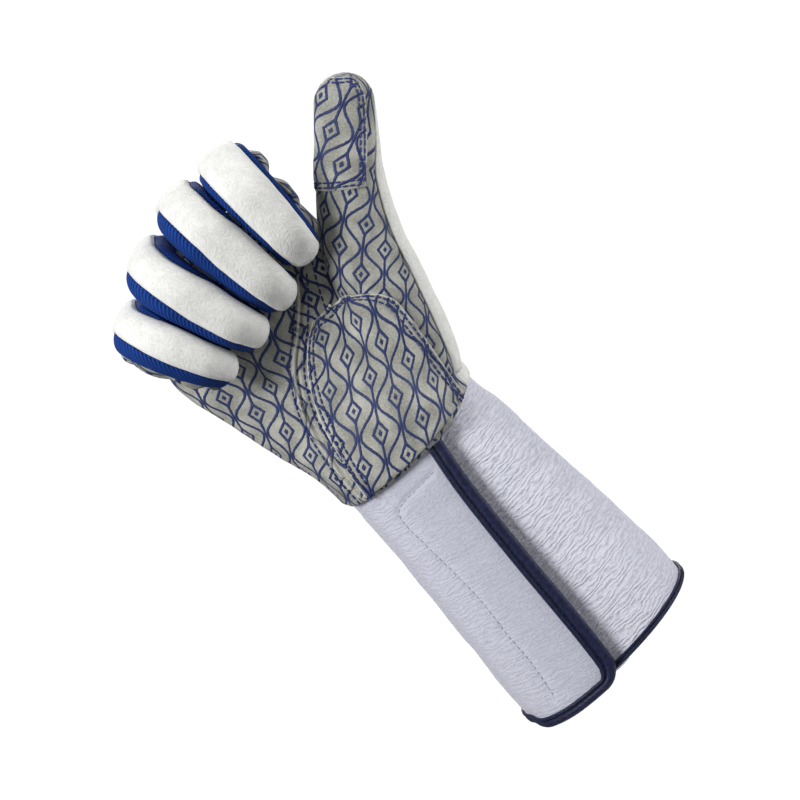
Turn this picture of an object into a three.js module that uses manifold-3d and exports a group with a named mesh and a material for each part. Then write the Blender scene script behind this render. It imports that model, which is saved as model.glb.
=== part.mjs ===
// Fencing glove for the right hand, in the shape it has when worn: a soft overlapping gauntlet,
// a printed leather palm, a padded back, four curled fingers with knit side strips and a raised thumb.
// Millimetres. X runs towards the thumb side, Y towards the back of the hand, Z from the cuff mouth
// to the knuckles. The origin is the middle of the cuff mouth.
import * as THREE from "three";
import Module from "manifold-3d";

const wasm = await Module();
wasm.setup();

// Clearances and walls
const GAP = 0.3;
const GAUNTLET_WALL = 2.0;
const LEATHER_WALL = 1.6;
const PADDED_WALL = 2.2;
const KNIT_WALL = 1.4;
const PATCH_WALL = 1.2;
const TAPE_WALL = 0.8;

// Gauntlet
const GAUNTLET_LENGTH = 130;
const CUFF_WIDTH = 97;
const CUFF_DEPTH = 76;
const TUCK_LENGTH = 8;
const FRONT_SEAM_DROP_LENGTH = 0.5;
const SIDE_SEAM_RISE_HEIGHT = 5;
const THUMB_SIDE_SEAM_RISE_HEIGHT = 1.5;
const FLAP_HEM_DROP_LENGTH = 2.5;
const FLAP_HEM_LIFT_HEIGHT = 4.6;
const FLAP_WRIST_LIFT_HEIGHT = 3.5;
const FLAP_RISE_START_ANGLE = 286;
const FLAP_RISE_END_ANGLE = 311;
const FLAP_DROP_END_ANGLE = 330;
const UNDERLAP_ANGLE = 47;
const SLIT_CORNER_RADIUS = 9;
const CREASE_DEPTH = 1;
const CREASE_WIDTH = 5;

// Edge tape and hidden touch fastener
const SLIT_TAPE_WIDTH = 7;
const FLAP_TAPE_WIDTH = 5;
const HEM_TAPE_WIDTH = 3;
const TAPE_INNER_WIDTH = 3;
const TAPE_TOP_INSET_LENGTH = 1.4;
const FASTENER_BOTTOM_HEIGHT = 14;
const FASTENER_TOP_HEIGHT = 110;
const FASTENER_START_ANGLE = 40;
const FASTENER_END_ANGLE = 8;

// Hand
const HAND_BREADTH = 97;
const HAND_DEPTH = 44;
const HAND_LENGTH = 145.5;
const LAP_SHARE = 0.08;
const BLEND_SHARE = 0.36;
const PALM_SEAM_LITTLE_SIDE_ANGLE = 100;
const PALM_SEAM_WRIST_ANGLE = 58;
const PALM_SEAM_INDEX_ANGLE = 94;

// Fingers: four of them fill the hand's breadth, and their thickness goes with its depth
const FINGER_WIDTH_SHARE = 0.2557;
const FINGER_THICKNESS_SHARE = 0.518;
const BEND_SHARE = 0.592;
const KNUCKLE_SHARE = 0.2045;
const FINGER_WIDTH = HAND_BREADTH * FINGER_WIDTH_SHARE;
const FINGER_THICKNESS = HAND_DEPTH * FINGER_THICKNESS_SHARE;
const BEND_RADIUS = FINGER_THICKNESS * BEND_SHARE;
const KNUCKLE_HEIGHT = GAUNTLET_LENGTH + HAND_LENGTH;
const KNUCKLE_BEND_Y = HAND_DEPTH * KNUCKLE_SHARE;
const FINGER_ROOT_LENGTH = 1;
const FIRST_BONE_LENGTH = 45.5;
const MIDDLE_BONE_LENGTH = 20;
const TIP_BONE_LENGTH = 10;
const MIDDLE_JOINT_Y = KNUCKLE_BEND_Y - FIRST_BONE_LENGTH;
const BACK_STRIP_HALF_ANGLE = 53;
const FRONT_PANEL_ANGLE = 98;
const STRIP_ROLL_ANGLE = -8;
const MIDDLE_JOINT_BEND_ANGLE = 95;
const TIP_JOINT_BEND_ANGLE = 37;

// Thumb
const THUMB_WIDTH = 40;
const THUMB_DEPTH_SHARE = 0.88;
const THENAR_HEIGHT = 73;
const THENAR_FOOT_HEIGHT = 1.8;
const FOLD_BRIDGE_WIDTH = 8;
const THUMB_SEAM_OUTER_ANGLE = 47;
const THUMB_SEAM_INNER_ANGLE = 104;

const radians = THREE.MathUtils.degToRad;
const smooth = THREE.MathUtils.smoothstep;
const mix = THREE.MathUtils.lerp;

// Reads a table with a smooth curve through its rows. Each row's first column is its place along the piece.
function readTable(table, column, place) {
  const last = table.length - 1;
  const t = Math.min(Math.max(place, table[0].at), table[last].at);
  let k = 0;
  while (k < last - 1 && t > table[k + 1].at) k += 1;
  const slopeAt = (i) => {
    const low = table[Math.max(i - 1, 0)];
    const high = table[Math.min(i + 1, last)];
    return (high[column] - low[column]) / (high.at - low.at);
  };
  const a = table[k];
  const b = table[k + 1];
  const span = b.at - a.at;
  const f = (t - a.at) / span;
  const f2 = f * f;
  const f3 = f2 * f;
  const start = (2 * f3 - 3 * f2 + 1) * a[column] + (f3 - 2 * f2 + f) * span * slopeAt(k);
  const end = (3 * f2 - 2 * f3) * b[column] + (f3 - f2) * span * slopeAt(k + 1);
  return start + end;
}

// Where a rounded section's edge lies sideways and forwards, as shares of its half width and depth.
// Angle 0 is the front, 90 the thumb side, 180 the back. A higher roundness gives squarer corners.
function sectionShares(angle, roundness) {
  const s = Math.sin(radians(angle));
  const c = Math.cos(radians(angle));
  const size = (Math.abs(s) ** roundness + Math.abs(c) ** roundness) ** (1 / roundness);
  return [s / size, c / size];
}

function ovalPoint(oval, angle, out) {
  const [sideways, forwards] = sectionShares(angle, oval.roundness);
  const depth = forwards > 0 ? oval.front : oval.back;
  return [oval.centre + (oval.half + out) * sideways, oval.middle - (depth + out) * forwards];
}

// Gauntlet sections as shares of the gauntlet's length, width and depth, from hem to wrist
const GAUNTLET_ROWS = [
  { at: 0.0, centre: -0.005, half: 0.5, depth: 0.5 },
  { at: 0.15, centre: 0.003, half: 0.498, depth: 0.487 },
  { at: 0.4, centre: 0.016, half: 0.474, depth: 0.452 },
  { at: 0.65, centre: 0.026, half: 0.443, depth: 0.412 },
  { at: 0.85, centre: 0.034, half: 0.426, depth: 0.381 },
  { at: 0.92, centre: 0.032, half: 0.419, depth: 0.371 },
  { at: 0.97, centre: 0.027, half: 0.408, depth: 0.361 },
  { at: 1.15, centre: 0.023, half: 0.402, depth: 0.356 },
];
const GAUNTLET_ROUNDNESS = 2.15;

// Creases in the gauntlet: height as a share of its length, middle angle and reach in degrees, depth as a
// share of the crease depth, and width and slope as shares of the crease width
const GAUNTLET_CREASES = [
  { height: 0.93, angle: 48, reach: 34, depth: 0.9, width: 0.9, slope: 1 },
  { height: 0.8, angle: 62, reach: 38, depth: 1.1, width: 1, slope: -1.2 },
  { height: 0.67, angle: 46, reach: 36, depth: 1, width: 1, slope: -0.8 },
  { height: 0.52, angle: 58, reach: 42, depth: 0.9, width: 1.1, slope: 1.2 },
  { height: 0.36, angle: 52, reach: 38, depth: 0.8, width: 1.2, slope: -1.2 },
  { height: 0.88, angle: 182, reach: 55, depth: 1, width: 1.2, slope: 0.8 },
  { height: 0.62, angle: 205, reach: 50, depth: 0.8, width: 1.2, slope: -1 },
  { height: 0.3, angle: 268, reach: 36, depth: 0.7, width: 1.4, slope: 1 },
];

function creaseDepth(angle, height) {
  let depth = 0;
  for (const crease of GAUNTLET_CREASES) {
    const along = (angle - crease.angle) / crease.reach;
    const middle = crease.height * GAUNTLET_LENGTH + crease.slope * CREASE_WIDTH * along;
    const across = (height - middle) / (crease.width * CREASE_WIDTH);
    depth += crease.depth * CREASE_DEPTH * Math.exp(-along * along * 2 - across * across);
  }
  return depth;
}

// The flap lies on top of the underlap: it rises before the underlap's edge starts below it.
function flapLift(height) {
  return mix(FLAP_HEM_LIFT_HEIGHT, FLAP_WRIST_LIFT_HEIGHT, height / GAUNTLET_LENGTH);
}

function gauntletOval(height) {
  const place = height / GAUNTLET_LENGTH;
  return {
    centre: readTable(GAUNTLET_ROWS, "centre", place) * CUFF_WIDTH,
    half: readTable(GAUNTLET_ROWS, "half", place) * CUFF_WIDTH,
    front: readTable(GAUNTLET_ROWS, "depth", place) * CUFF_DEPTH,
    back: readTable(GAUNTLET_ROWS, "depth", place) * CUFF_DEPTH,
    middle: 0,
    roundness: GAUNTLET_ROUNDNESS,
  };
}

// Outer face of the gauntlet. The angle starts below the flap and passes 360 where the flap overlaps it.
function gauntletFace(angle, height) {
  const lift = flapLift(height) * smooth(angle, FLAP_RISE_START_ANGLE, FLAP_RISE_END_ANGLE);
  const out = lift - creaseDepth(angle, height);
  const [x, y] = ovalPoint(gauntletOval(height), angle, out);
  const turned = smooth(angle, FLAP_RISE_START_ANGLE, FLAP_DROP_END_ANGLE);
  const drop = FLAP_HEM_DROP_LENGTH * turned * (1 - smooth(height / GAUNTLET_LENGTH, -0.05, 0.385));
  return new THREE.Vector3(x, y, height - drop);
}

// Place of the wrist seam and of the slit
function wristSeam(angle) {
  const side = Math.sin(radians(angle));
  const rise = SIDE_SEAM_RISE_HEIGHT * side * side + THUMB_SIDE_SEAM_RISE_HEIGHT * side * Math.abs(side);
  return GAUNTLET_LENGTH - FRONT_SEAM_DROP_LENGTH + rise;
}
const SLIT_ROWS = [
  { at: 0.0, x: -0.045 },
  { at: 0.1, x: -0.02 },
  { at: 0.25, x: 0.004 },
  { at: 0.54, x: 0.04 },
  { at: 0.82, x: 0.083 },
  { at: 1.0, x: 0.128 },
];

// The angle at which the flap's face stands at a given place across the glove
function flapAngle(x, height) {
  const oval = gauntletOval(height);
  const sideways = (x - oval.centre) / (oval.half + flapLift(height));
  const forwards = (1 - Math.abs(sideways) ** oval.roundness) ** (1 / oval.roundness);
  return 360 + (Math.atan2(sideways, forwards) * 180) / Math.PI;
}

// The free edge of the flap, drawn in at its rounded lower corner
function slitX(height) {
  const rise = Math.max(SLIT_CORNER_RADIUS - height, 0);
  const cut = SLIT_CORNER_RADIUS - Math.sqrt(SLIT_CORNER_RADIUS ** 2 - rise ** 2);
  return readTable(SLIT_ROWS, "x", height / GAUNTLET_LENGTH) * CUFF_WIDTH - cut;
}

// Outward direction of a face given by two parameters, column first
function outward(face, u, v, du, dv) {
  const across = face(u + du, v).sub(face(u - du, v));
  const along = face(u, v + dv).sub(face(u, v - dv));
  return across.cross(along).normalize();
}

// One closed solid from points and triangles: points that coincide are joined, empty triangles dropped.
function solidGeometry(points, triangles) {
  const found = new Map();
  const positions = [];
  const index = points.map((p) => {
    const key = [p.x, p.y, p.z].map((value) => Math.round(value * 500)).join(" ");
    if (!found.has(key)) {
      found.set(key, positions.length / 3);
      positions.push(p.x, p.y, p.z);
    }
    return found.get(key);
  });
  const faces = [];
  for (const [a, b, c] of triangles) {
    const [i, j, k] = [index[a], index[b], index[c]];
    if (i !== j && j !== k && k !== i) faces.push(i, j, k);
  }
  const geometry = new THREE.BufferGeometry();
  geometry.setAttribute("position", new THREE.Float32BufferAttribute(positions, 3));
  geometry.setIndex(faces);
  return geometry;
}

// A sheet with a wall: the outer face is sampled over rows and columns, and the inner face lies below it.
function sheet(rows, columns, pointAt, wall) {
  const outer = [];
  const inner = [];
  for (let i = 0; i <= rows; i += 1) {
    for (let j = 0; j <= columns; j += 1) {
      const { point, normal } = pointAt(i / rows, j / columns);
      outer.push(point);
      inner.push(point.clone().addScaledVector(normal, -wall));
    }
  }
  const count = outer.length;
  const at = (i, j) => i * (columns + 1) + j;
  const triangles = [];
  const quad = (a, b, c, d) => triangles.push([a, b, c], [a, c, d]);
  for (let i = 0; i < rows; i += 1) {
    for (let j = 0; j < columns; j += 1) {
      quad(at(i, j), at(i, j + 1), at(i + 1, j + 1), at(i + 1, j));
      quad(count + at(i + 1, j), count + at(i + 1, j + 1), count + at(i, j + 1), count + at(i, j));
    }
  }
  for (let j = 0; j < columns; j += 1) {
    quad(at(0, j + 1), at(0, j), count + at(0, j), count + at(0, j + 1));
    quad(at(rows, j), at(rows, j + 1), count + at(rows, j + 1), count + at(rows, j));
  }
  for (let i = 0; i < rows; i += 1) {
    quad(at(i, 0), at(i + 1, 0), count + at(i + 1, 0), count + at(i, 0));
    quad(at(i + 1, columns), at(i, columns), count + at(i, columns), count + at(i + 1, columns));
  }
  return solidGeometry([...outer, ...inner], triangles);
}

// A filled body from closed rings, with a middle point closing each end
function filled(rings) {
  const size = rings[0].length;
  const points = rings.flat();
  const triangles = [];
  for (let i = 0; i < rings.length - 1; i += 1) {
    for (let j = 0; j < size; j += 1) {
      const a = i * size + j;
      const b = i * size + ((j + 1) % size);
      triangles.push([a, b, b + size], [a, b + size, a + size]);
    }
  }
  for (const [ring, turned] of [
    [0, true],
    [rings.length - 1, false],
  ]) {
    const middle = new THREE.Vector3();
    rings[ring].forEach((p) => middle.addScaledVector(p, 1 / size));
    const tip = points.push(middle) - 1;
    for (let j = 0; j < size; j += 1) {
      const a = ring * size + j;
      const b = ring * size + ((j + 1) % size);
      triangles.push(turned ? [b, a, tip] : [a, b, tip]);
    }
  }
  return solidGeometry(points, triangles);
}

function toSolid(geometry) {
  const vertProperties = new Float32Array(geometry.attributes.position.array);
  const triVerts = new Uint32Array(geometry.index.array);
  return new wasm.Manifold(new wasm.Mesh({ numProp: 3, vertProperties, triVerts }));
}

function toGeometry(solid) {
  const mesh = solid.getMesh();
  const geometry = new THREE.BufferGeometry();
  geometry.setAttribute("position", new THREE.Float32BufferAttribute(mesh.vertProperties, 3));
  geometry.setIndex(new THREE.Uint32BufferAttribute(mesh.triVerts, 1));
  return geometry;
}

// Keeps the largest body where a cut leaves a scrap at a corner
function largest(solid) {
  const bodies = solid.decompose();
  return bodies.reduce((best, body) => (body.volume() > best.volume() ? body : best));
}

// Gauntlet: one sheet that starts as the underlap, goes round the arm and ends as the flap.
// Its last columns follow the slit and its rounded corner.
const CORNER_TURNS = [30, 60, 90];
const cornerHeight = (turn) => SLIT_CORNER_RADIUS * (1 - Math.sin(radians(turn)));
const CORNER_LEVELS = CORNER_TURNS.map(cornerHeight).reverse();
const PLAIN_SHARES = [0.16, 0.27, 0.37, 0.46, 0.55, 0.63, 0.715, 0.79, 0.86, 0.92, 0.97];
const PLAIN_LEVELS = PLAIN_SHARES.map((share) => share * GAUNTLET_LENGTH);
const TUCKED_LEVEL = GAUNTLET_LENGTH + TUCK_LENGTH;
const GAUNTLET_LEVELS = [...CORNER_LEVELS, SLIT_CORNER_RADIUS, ...PLAIN_LEVELS, TUCKED_LEVEL];
const EDGE_ZONE_ANGLE = 48;
const GAUNTLET_COLUMNS = 42;
function columnAngle(column, height) {
  const plain = mix(-UNDERLAP_ANGLE, 360, column);
  const zone = smooth(plain, 360 - EDGE_ZONE_ANGLE, 360);
  return plain + (flapAngle(slitX(height), height) - 360) * zone;
}

function gauntletPoint(share, column) {
  const level = share * (GAUNTLET_LEVELS.length - 1);
  const height = GAUNTLET_LEVELS[Math.round(level)];
  const angle = columnAngle(column, height);
  const top = height > GAUNTLET_LENGTH ? wristSeam(angle) + TUCK_LENGTH : height;
  return {
    point: gauntletFace(angle, top),
    normal: outward(gauntletFace, angle, top, 0.5, 0.5),
  };
}
const gauntletGeometry = sheet(GAUNTLET_LEVELS.length - 1, GAUNTLET_COLUMNS, gauntletPoint, GAUNTLET_WALL);

// Edge tape: a channel folded over the slit edge, the rounded corner and the hem.
// Its path runs in unrolled lengths: arc along the hem, and height.
const HALF_TURN = 180;
function tapePath() {
  const stations = [];
  const slitTop = GAUNTLET_LENGTH - TAPE_TOP_INSET_LENGTH;
  for (const height of [slitTop, ...[...PLAIN_LEVELS].reverse(), SLIT_CORNER_RADIUS]) {
    stations.push({ angle: flapAngle(slitX(height), height), height, turn: 0 });
  }
  for (const turn of CORNER_TURNS) {
    const height = cornerHeight(turn);
    stations.push({ angle: flapAngle(slitX(height), height), height, turn });
  }
  for (let k = GAUNTLET_COLUMNS - 1; k >= 0; k -= 1) {
    stations.push({ angle: columnAngle(k / GAUNTLET_COLUMNS, 0), height: 0, turn: 90 });
  }
  return stations;
}

function tapeWidth(angle, height) {
  if (height > 0) return SLIT_TAPE_WIDTH;
  if (angle < HALF_TURN) return HEM_TAPE_WIDTH;
  return mix(HEM_TAPE_WIDTH, FLAP_TAPE_WIDTH, smooth(angle, 230, 300));
}

function tapeGeometry() {
  const stations = tapePath();
  const low = -GAUNTLET_WALL - GAP;
  const points = [];
  for (const { angle, height, turn } of stations) {
    const width = tapeWidth(angle, height);
    const profile = [
      [width, GAP],
      [width, GAP + TAPE_WALL],
      [-GAP - TAPE_WALL, GAP + TAPE_WALL],
      [-GAP - TAPE_WALL, low - TAPE_WALL],
      [TAPE_INNER_WIDTH, low - TAPE_WALL],
      [TAPE_INNER_WIDTH, low],
      [-GAP, low],
      [-GAP, GAP],
    ];
    for (const [inwards, out] of profile) {
      const level = height + inwards * Math.sin(radians(turn));
      const sideways = slitX(height) - inwards * Math.cos(radians(turn));
      const place = [turn < 90 ? flapAngle(sideways, level) : angle, level];
      const normal = outward(gauntletFace, ...place, 0.5, 0.5);
      points.push(gauntletFace(...place).addScaledVector(normal, out));
    }
  }
  const triangles = [];
  const size = 8;
  for (let i = 0; i < stations.length - 1; i += 1) {
    for (let j = 0; j < size; j += 1) {
      const a = i * size + j;
      const b = i * size + ((j + 1) % size);
      triangles.push([a, b + size, b], [a, a + size, b + size]);
    }
  }
  const quads = [
    [0, 1, 2, 7],
    [7, 2, 3, 6],
    [6, 3, 4, 5],
  ];
  const last = (stations.length - 1) * size;
  for (const [a, b, c, d] of quads) {
    triangles.push([a, b, c], [a, c, d]);
    triangles.push([last + c, last + b, last + a], [last + d, last + c, last + a]);
  }
  return solidGeometry(points, triangles);
}

// Touch fastener: a plain strip that fills the room between the underlap and the flap
function fastenerPoint(row, column) {
  const height = mix(FASTENER_BOTTOM_HEIGHT, FASTENER_TOP_HEIGHT, row);
  const angle = 360 + mix(-FASTENER_START_ANGLE, -FASTENER_END_ANGLE, column);
  const normal = outward(gauntletFace, angle, height, 0.5, 0.5);
  const point = gauntletFace(angle, height).addScaledVector(normal, -GAUNTLET_WALL - GAP);
  return { point, normal };
}
const fastenerWall = flapLift(FASTENER_TOP_HEIGHT) - GAUNTLET_WALL - 2 * GAP;
const fastenerGeometry = sheet(8, 6, fastenerPoint, fastenerWall);

// Fingers. Places are shares of the hand's breadth, drops are shares of its length, widths and bones are
// shares of the common width and bone lengths, and slants are degrees.
const FINGERS = [
  { name: "index", knuckle: 0.309, joint: 0.301, drop: 0, slant: -2, width: 0.98, middle: 0.65, tip: 0.9 },
  { name: "middle", knuckle: 0.052, joint: 0.03, drop: -0.004, slant: 4, width: 0.99, middle: 1, tip: 1.05 },
  { name: "ring", knuckle: -0.211, joint: -0.266, drop: 0.047, slant: 13.5, width: 0.97, middle: 0.875, tip: 0.9 },
  { name: "little", knuckle: -0.468, joint: -0.494, drop: 0.15, slant: 22, width: 0.96, middle: 0.375, tip: 0.65 },
];

// Finger sections along the finger, as shares of finger width and thickness
const FINGER_ROWS = [
  { at: 0.0, width: 0.97, thick: 0.97, roundness: 3.6 },
  { at: 0.14, width: 0.98, thick: 1.0, roundness: 3.0 },
  { at: 0.3, width: 0.96, thick: 0.97, roundness: 2.5 },
  { at: 0.52, width: 1.0, thick: 1.0, roundness: 2.3 },
  { at: 0.7, width: 0.95, thick: 0.95, roundness: 2.3 },
  { at: 0.84, width: 0.88, thick: 0.9, roundness: 2.2 },
  { at: 1.0, width: 0.78, thick: 0.8, roundness: 2.0 },
];

// The line along the middle of a finger: straight lengths and bends in the finger's own plane
function fingerLine(finger) {
  const up = new THREE.Vector3(-Math.sin(radians(finger.slant)), 0, Math.cos(radians(finger.slant)));
  const height = KNUCKLE_HEIGHT - HAND_LENGTH * finger.drop;
  const knuckle = new THREE.Vector3(finger.knuckle * HAND_BREADTH, KNUCKLE_BEND_Y, height);
  const joint = new THREE.Vector3(finger.joint * HAND_BREADTH, MIDDLE_JOINT_Y, height);
  const forward = joint.clone().sub(knuckle);
  const reach = forward.length();
  forward.addScaledVector(up, -forward.dot(up)).normalize();
  const start = knuckle.clone().addScaledVector(up, -BEND_RADIUS - FINGER_ROOT_LENGTH);
  const turnLength = (degrees) => BEND_RADIUS * Math.tan(radians(degrees / 2));
  const parts = [
    { length: FINGER_ROOT_LENGTH, bend: 0 },
    { length: radians(90) * BEND_RADIUS, bend: 90 },
    { length: reach - turnLength(90) - turnLength(MIDDLE_JOINT_BEND_ANGLE), bend: 0 },
    { length: radians(MIDDLE_JOINT_BEND_ANGLE) * BEND_RADIUS, bend: MIDDLE_JOINT_BEND_ANGLE },
    { length: finger.middle * MIDDLE_BONE_LENGTH, bend: 0 },
    { length: radians(TIP_JOINT_BEND_ANGLE) * BEND_RADIUS, bend: TIP_JOINT_BEND_ANGLE },
    { length: finger.tip * TIP_BONE_LENGTH, bend: 0 },
  ];
  const total = parts.reduce((sum, part) => sum + part.length, 0);
  const direction = (angle) =>
    up.clone().multiplyScalar(Math.cos(angle)).addScaledVector(forward, Math.sin(angle));
  const at = (share) => {
    let left = share * total;
    let angle = 0;
    const centre = start.clone();
    for (const part of parts) {
      const run = Math.min(left, part.length);
      if (part.bend === 0) {
        centre.addScaledVector(direction(angle), run);
      } else {
        const swept = run / BEND_RADIUS;
        const side = direction(angle + Math.PI / 2);
        centre.addScaledVector(direction(angle), BEND_RADIUS * Math.sin(swept));
        centre.addScaledVector(side, BEND_RADIUS * (1 - Math.cos(swept)));
        angle += swept;
      }
      left -= run;
      if (left <= 0) break;
    }
    const along = direction(angle);
    const top = direction(angle - Math.PI / 2);
    return { centre, along, top, side: along.clone().cross(top) };
  };
  return { finger, at, total, start, up };
}
const LINES = FINGERS.map(fingerLine);

// Where a finger's middle plane stands at a given depth and height, to press neighbours flat together
function fingerPlaneX(finger, y, z) {
  const height = KNUCKLE_HEIGHT - HAND_LENGTH * finger.drop;
  const spread = ((finger.knuckle - finger.joint) * HAND_BREADTH) / (KNUCKLE_BEND_Y - MIDDLE_JOINT_Y);
  const joint = finger.joint * HAND_BREADTH;
  return joint + spread * (y - MIDDLE_JOINT_Y) + Math.tan(radians(finger.slant)) * (height - z);
}

function pressed(point, index) {
  const own = FINGERS[index];
  const between = (other) => {
    const share = own.width / (own.width + other.width);
    const x = fingerPlaneX(own, point.y, point.z);
    return mix(x, fingerPlaneX(other, point.y, point.z), share);
  };
  if (index > 0) point.x = Math.min(point.x, between(FINGERS[index - 1]) - GAP / 2);
  if (index < FINGERS.length - 1) point.x = Math.max(point.x, between(FINGERS[index + 1]) + GAP / 2);
  return point;
}

// Outer face of a finger. Place 0 to 1 runs to the start of the rounded tip, 1 to 2 round the tip.
function fingerFace(index, angle, place) {
  const line = LINES[index];
  const finger = line.finger;
  const share = Math.min(place, 1);
  const round = radians(90) * Math.max(place - 1, 0);
  const { centre, along, top, side } = line.at(share);
  const half = (readTable(FINGER_ROWS, "width", share) * FINGER_WIDTH * finger.width) / 2;
  const thick = (readTable(FINGER_ROWS, "thick", share) * FINGER_THICKNESS) / 2;
  const [sideways, upwards] = sectionShares(angle, readTable(FINGER_ROWS, "roundness", share));
  const squeeze = Math.cos(round);
  centre.addScaledVector(along, Math.sin(round) * half * 0.95);
  centre.addScaledVector(top, upwards * thick * squeeze);
  centre.addScaledVector(side, sideways * half * squeeze);
  return pressed(centre, index);
}

// How far the white back and the front panel reach round the finger. At the tip they meet at the sides.
const closing = (place) => smooth(place, 0.84, 1.02);
const rollAt = (place) => STRIP_ROLL_ANGLE * smooth(place, 0.25, 0.5) * (1 - smooth(place, 0.85, 1));
const backReach = (place) => mix(BACK_STRIP_HALF_ANGLE, 90, closing(place));
const frontReach = (place) => mix(FRONT_PANEL_ANGLE, 90, closing(place));

function fingerPoint(index, angle, place, shift) {
  const face = (u, v) => fingerFace(index, u, v);
  const held = Math.min(place, 1.96);
  const normal = outward(face, angle, held, 0.5, 0.004);
  const { top } = LINES[index].at(Math.min(place, 1));
  const point = fingerFace(index, angle, place).addScaledVector(top, (shift * GAP * closing(place)) / 2);
  return { point, normal };
}

// Finger rows: places that follow the bends closely
const FINGER_PLACES = [
  0.006, 0.06, 0.12, 0.18, 0.25, 0.34, 0.4, 0.46, 0.52, 0.58, 0.66, 0.74, 0.8, 0.86, 0.93, 1, 1.33, 1.66, 2,
];
const trim = (place) => ((GAP / 2 / (FINGER_WIDTH / 2)) * 180 * (1 - closing(place))) / Math.PI;

function fingerBack(index) {
  return sheet(
    FINGER_PLACES.length - 1,
    4,
    (row, column) => {
      const place = FINGER_PLACES[Math.round(row * (FINGER_PLACES.length - 1))];
      const reach = backReach(place) - trim(place);
      return fingerPoint(index, rollAt(place) + mix(-reach, reach, column), place, 1);
    },
    PADDED_WALL,
  );
}

function fingerFront(index) {
  return sheet(
    FINGER_PLACES.length - 1,
    3,
    (row, column) => {
      const place = FINGER_PLACES[Math.round(row * (FINGER_PLACES.length - 1))];
      const reach = 180 - frontReach(place) - trim(place);
      return fingerPoint(index, 180 + rollAt(place) + mix(-reach, reach, column), place, -1);
    },
    LEATHER_WALL,
  );
}

// Knit side strip. Its end near the tip narrows to a point.
const SIDE_ROWS = 13;
function fingerSide(index, sign) {
  return sheet(
    SIDE_ROWS,
    1,
    (row, column) => {
      const place = FINGER_PLACES[Math.round(row * SIDE_ROWS)];
      const low = backReach(place) + trim(place);
      const high = frontReach(place) - trim(place);
      const angle = sign > 0 ? mix(low, high, column) : mix(-high, -low, column);
      return fingerPoint(index, rollAt(place) + angle, place, 0);
    },
    KNIT_WALL,
  );
}

// Hand sections from the wrist seam to the finger seams: places as shares of breadth and depth
const HAND_ROWS = [
  { at: 0.0, left: -0.42, right: 0.45, front: -0.66, back: 0.66, roundness: 2.15 },
  { at: 0.17, left: -0.435, right: 0.45, front: -0.6, back: 0.6, roundness: 2.2 },
  { at: 0.36, left: -0.465, right: 0.455, front: -0.45, back: 0.56, roundness: 2.35 },
  { at: 0.6, left: -0.515, right: 0.452, front: -0.3, back: 0.52, roundness: 2.5 },
  { at: 0.85, left: -0.568, right: 0.44, front: -0.24, back: 0.49, roundness: 2.7 },
  { at: 1.0, left: -0.545, right: 0.422, front: -0.045, back: 0.455, roundness: 3.2 },
];

// Height of the finger seams above the wrist, as a share of the hand's length
const TOP_ROWS = [
  { at: -0.56, height: 0.7217 },
  { at: -0.412, height: 0.7601 },
  { at: -0.3, height: 0.7879 },
  { at: -0.25, height: 0.8447 },
  { at: -0.177, height: 0.858 },
  { at: -0.057, height: 0.876 },
  { at: -0.012, height: 0.9034 },
  { at: 0.06, height: 0.9059 },
  { at: 0.3, height: 0.9034 },
  { at: 0.44, height: 0.9006 },
];

function handOval(place) {
  const left = readTable(HAND_ROWS, "left", place) * HAND_BREADTH;
  const right = readTable(HAND_ROWS, "right", place) * HAND_BREADTH;
  const front = readTable(HAND_ROWS, "front", place) * HAND_DEPTH;
  const back = readTable(HAND_ROWS, "back", place) * HAND_DEPTH;
  const middle = mix(0, KNUCKLE_BEND_Y, smooth(place, 0, 1));
  return {
    centre: (left + right) / 2,
    half: (right - left) / 2,
    front: middle - front,
    back: back - middle,
    middle,
    roundness: readTable(HAND_ROWS, "roundness", place),
  };
}

// Above the wrist the leather laps over the gauntlet, and rises over the flap
function lapLift(angle) {
  const turned = ((angle + 180) % 360) - 180;
  const rise = smooth(turned, FLAP_RISE_START_ANGLE - 360 - 4, FLAP_RISE_END_ANGLE - 360);
  const fall = 1 - smooth(turned, 24, 50);
  return FLAP_WRIST_LIFT_HEIGHT * Math.min(rise, fall);
}

// Outer face of the hand. Angles run round from the front; place 0 is the wrist seam, 1 the finger seams.
function handFace(angle, place) {
  const oval = handOval(place);
  const [topX] = ovalPoint(handOval(1), angle, 0);
  const top = GAUNTLET_LENGTH + readTable(TOP_ROWS, "height", topX / HAND_BREADTH) * HAND_LENGTH;
  const height = mix(wristSeam(angle), top, place);
  const [x, y] = ovalPoint(oval, angle, 0);
  const out = GAP + PADDED_WALL + lapLift(angle);
  const [lapX, lapY] = ovalPoint(gauntletOval(height), angle, out);
  const blend = smooth(place, LAP_SHARE, BLEND_SHARE);
  return new THREE.Vector3(mix(lapX, x, blend), mix(lapY, y, blend), height);
}

function handPoint(angle, place, lift) {
  const held = Math.min(Math.max(place, 0.004), 0.996);
  const normal = outward(handFace, angle, held, 0.5, 0.004);
  return { point: handFace(angle, place).addScaledVector(normal, lift), normal };
}

// Thumb: its middle line as shares of the hand's breadth, depth and length, the last from the wrist up, and
// its half width as a share of the thumb's width, from inside the hand to the start of the rounded tip
const THUMB_ROWS = [
  { at: 0.0, across: 0.232, back: -0.091, up: 0.069, half: 0.43 },
  { at: 0.13, across: 0.291, back: -0.159, up: 0.172, half: 0.49 },
  { at: 0.37, across: 0.4, back: -0.205, up: 0.375, half: 0.5 },
  { at: 0.62, across: 0.5175, back: -0.273, up: 0.577, half: 0.455 },
  { at: 0.83, across: 0.678, back: -0.341, up: 0.739, half: 0.37 },
  { at: 0.92, across: 0.7835, back: -0.352, up: 0.818, half: 0.34 },
  { at: 1.0, across: 0.895, back: -0.341, up: 0.902, half: 0.325 },
];

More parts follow.
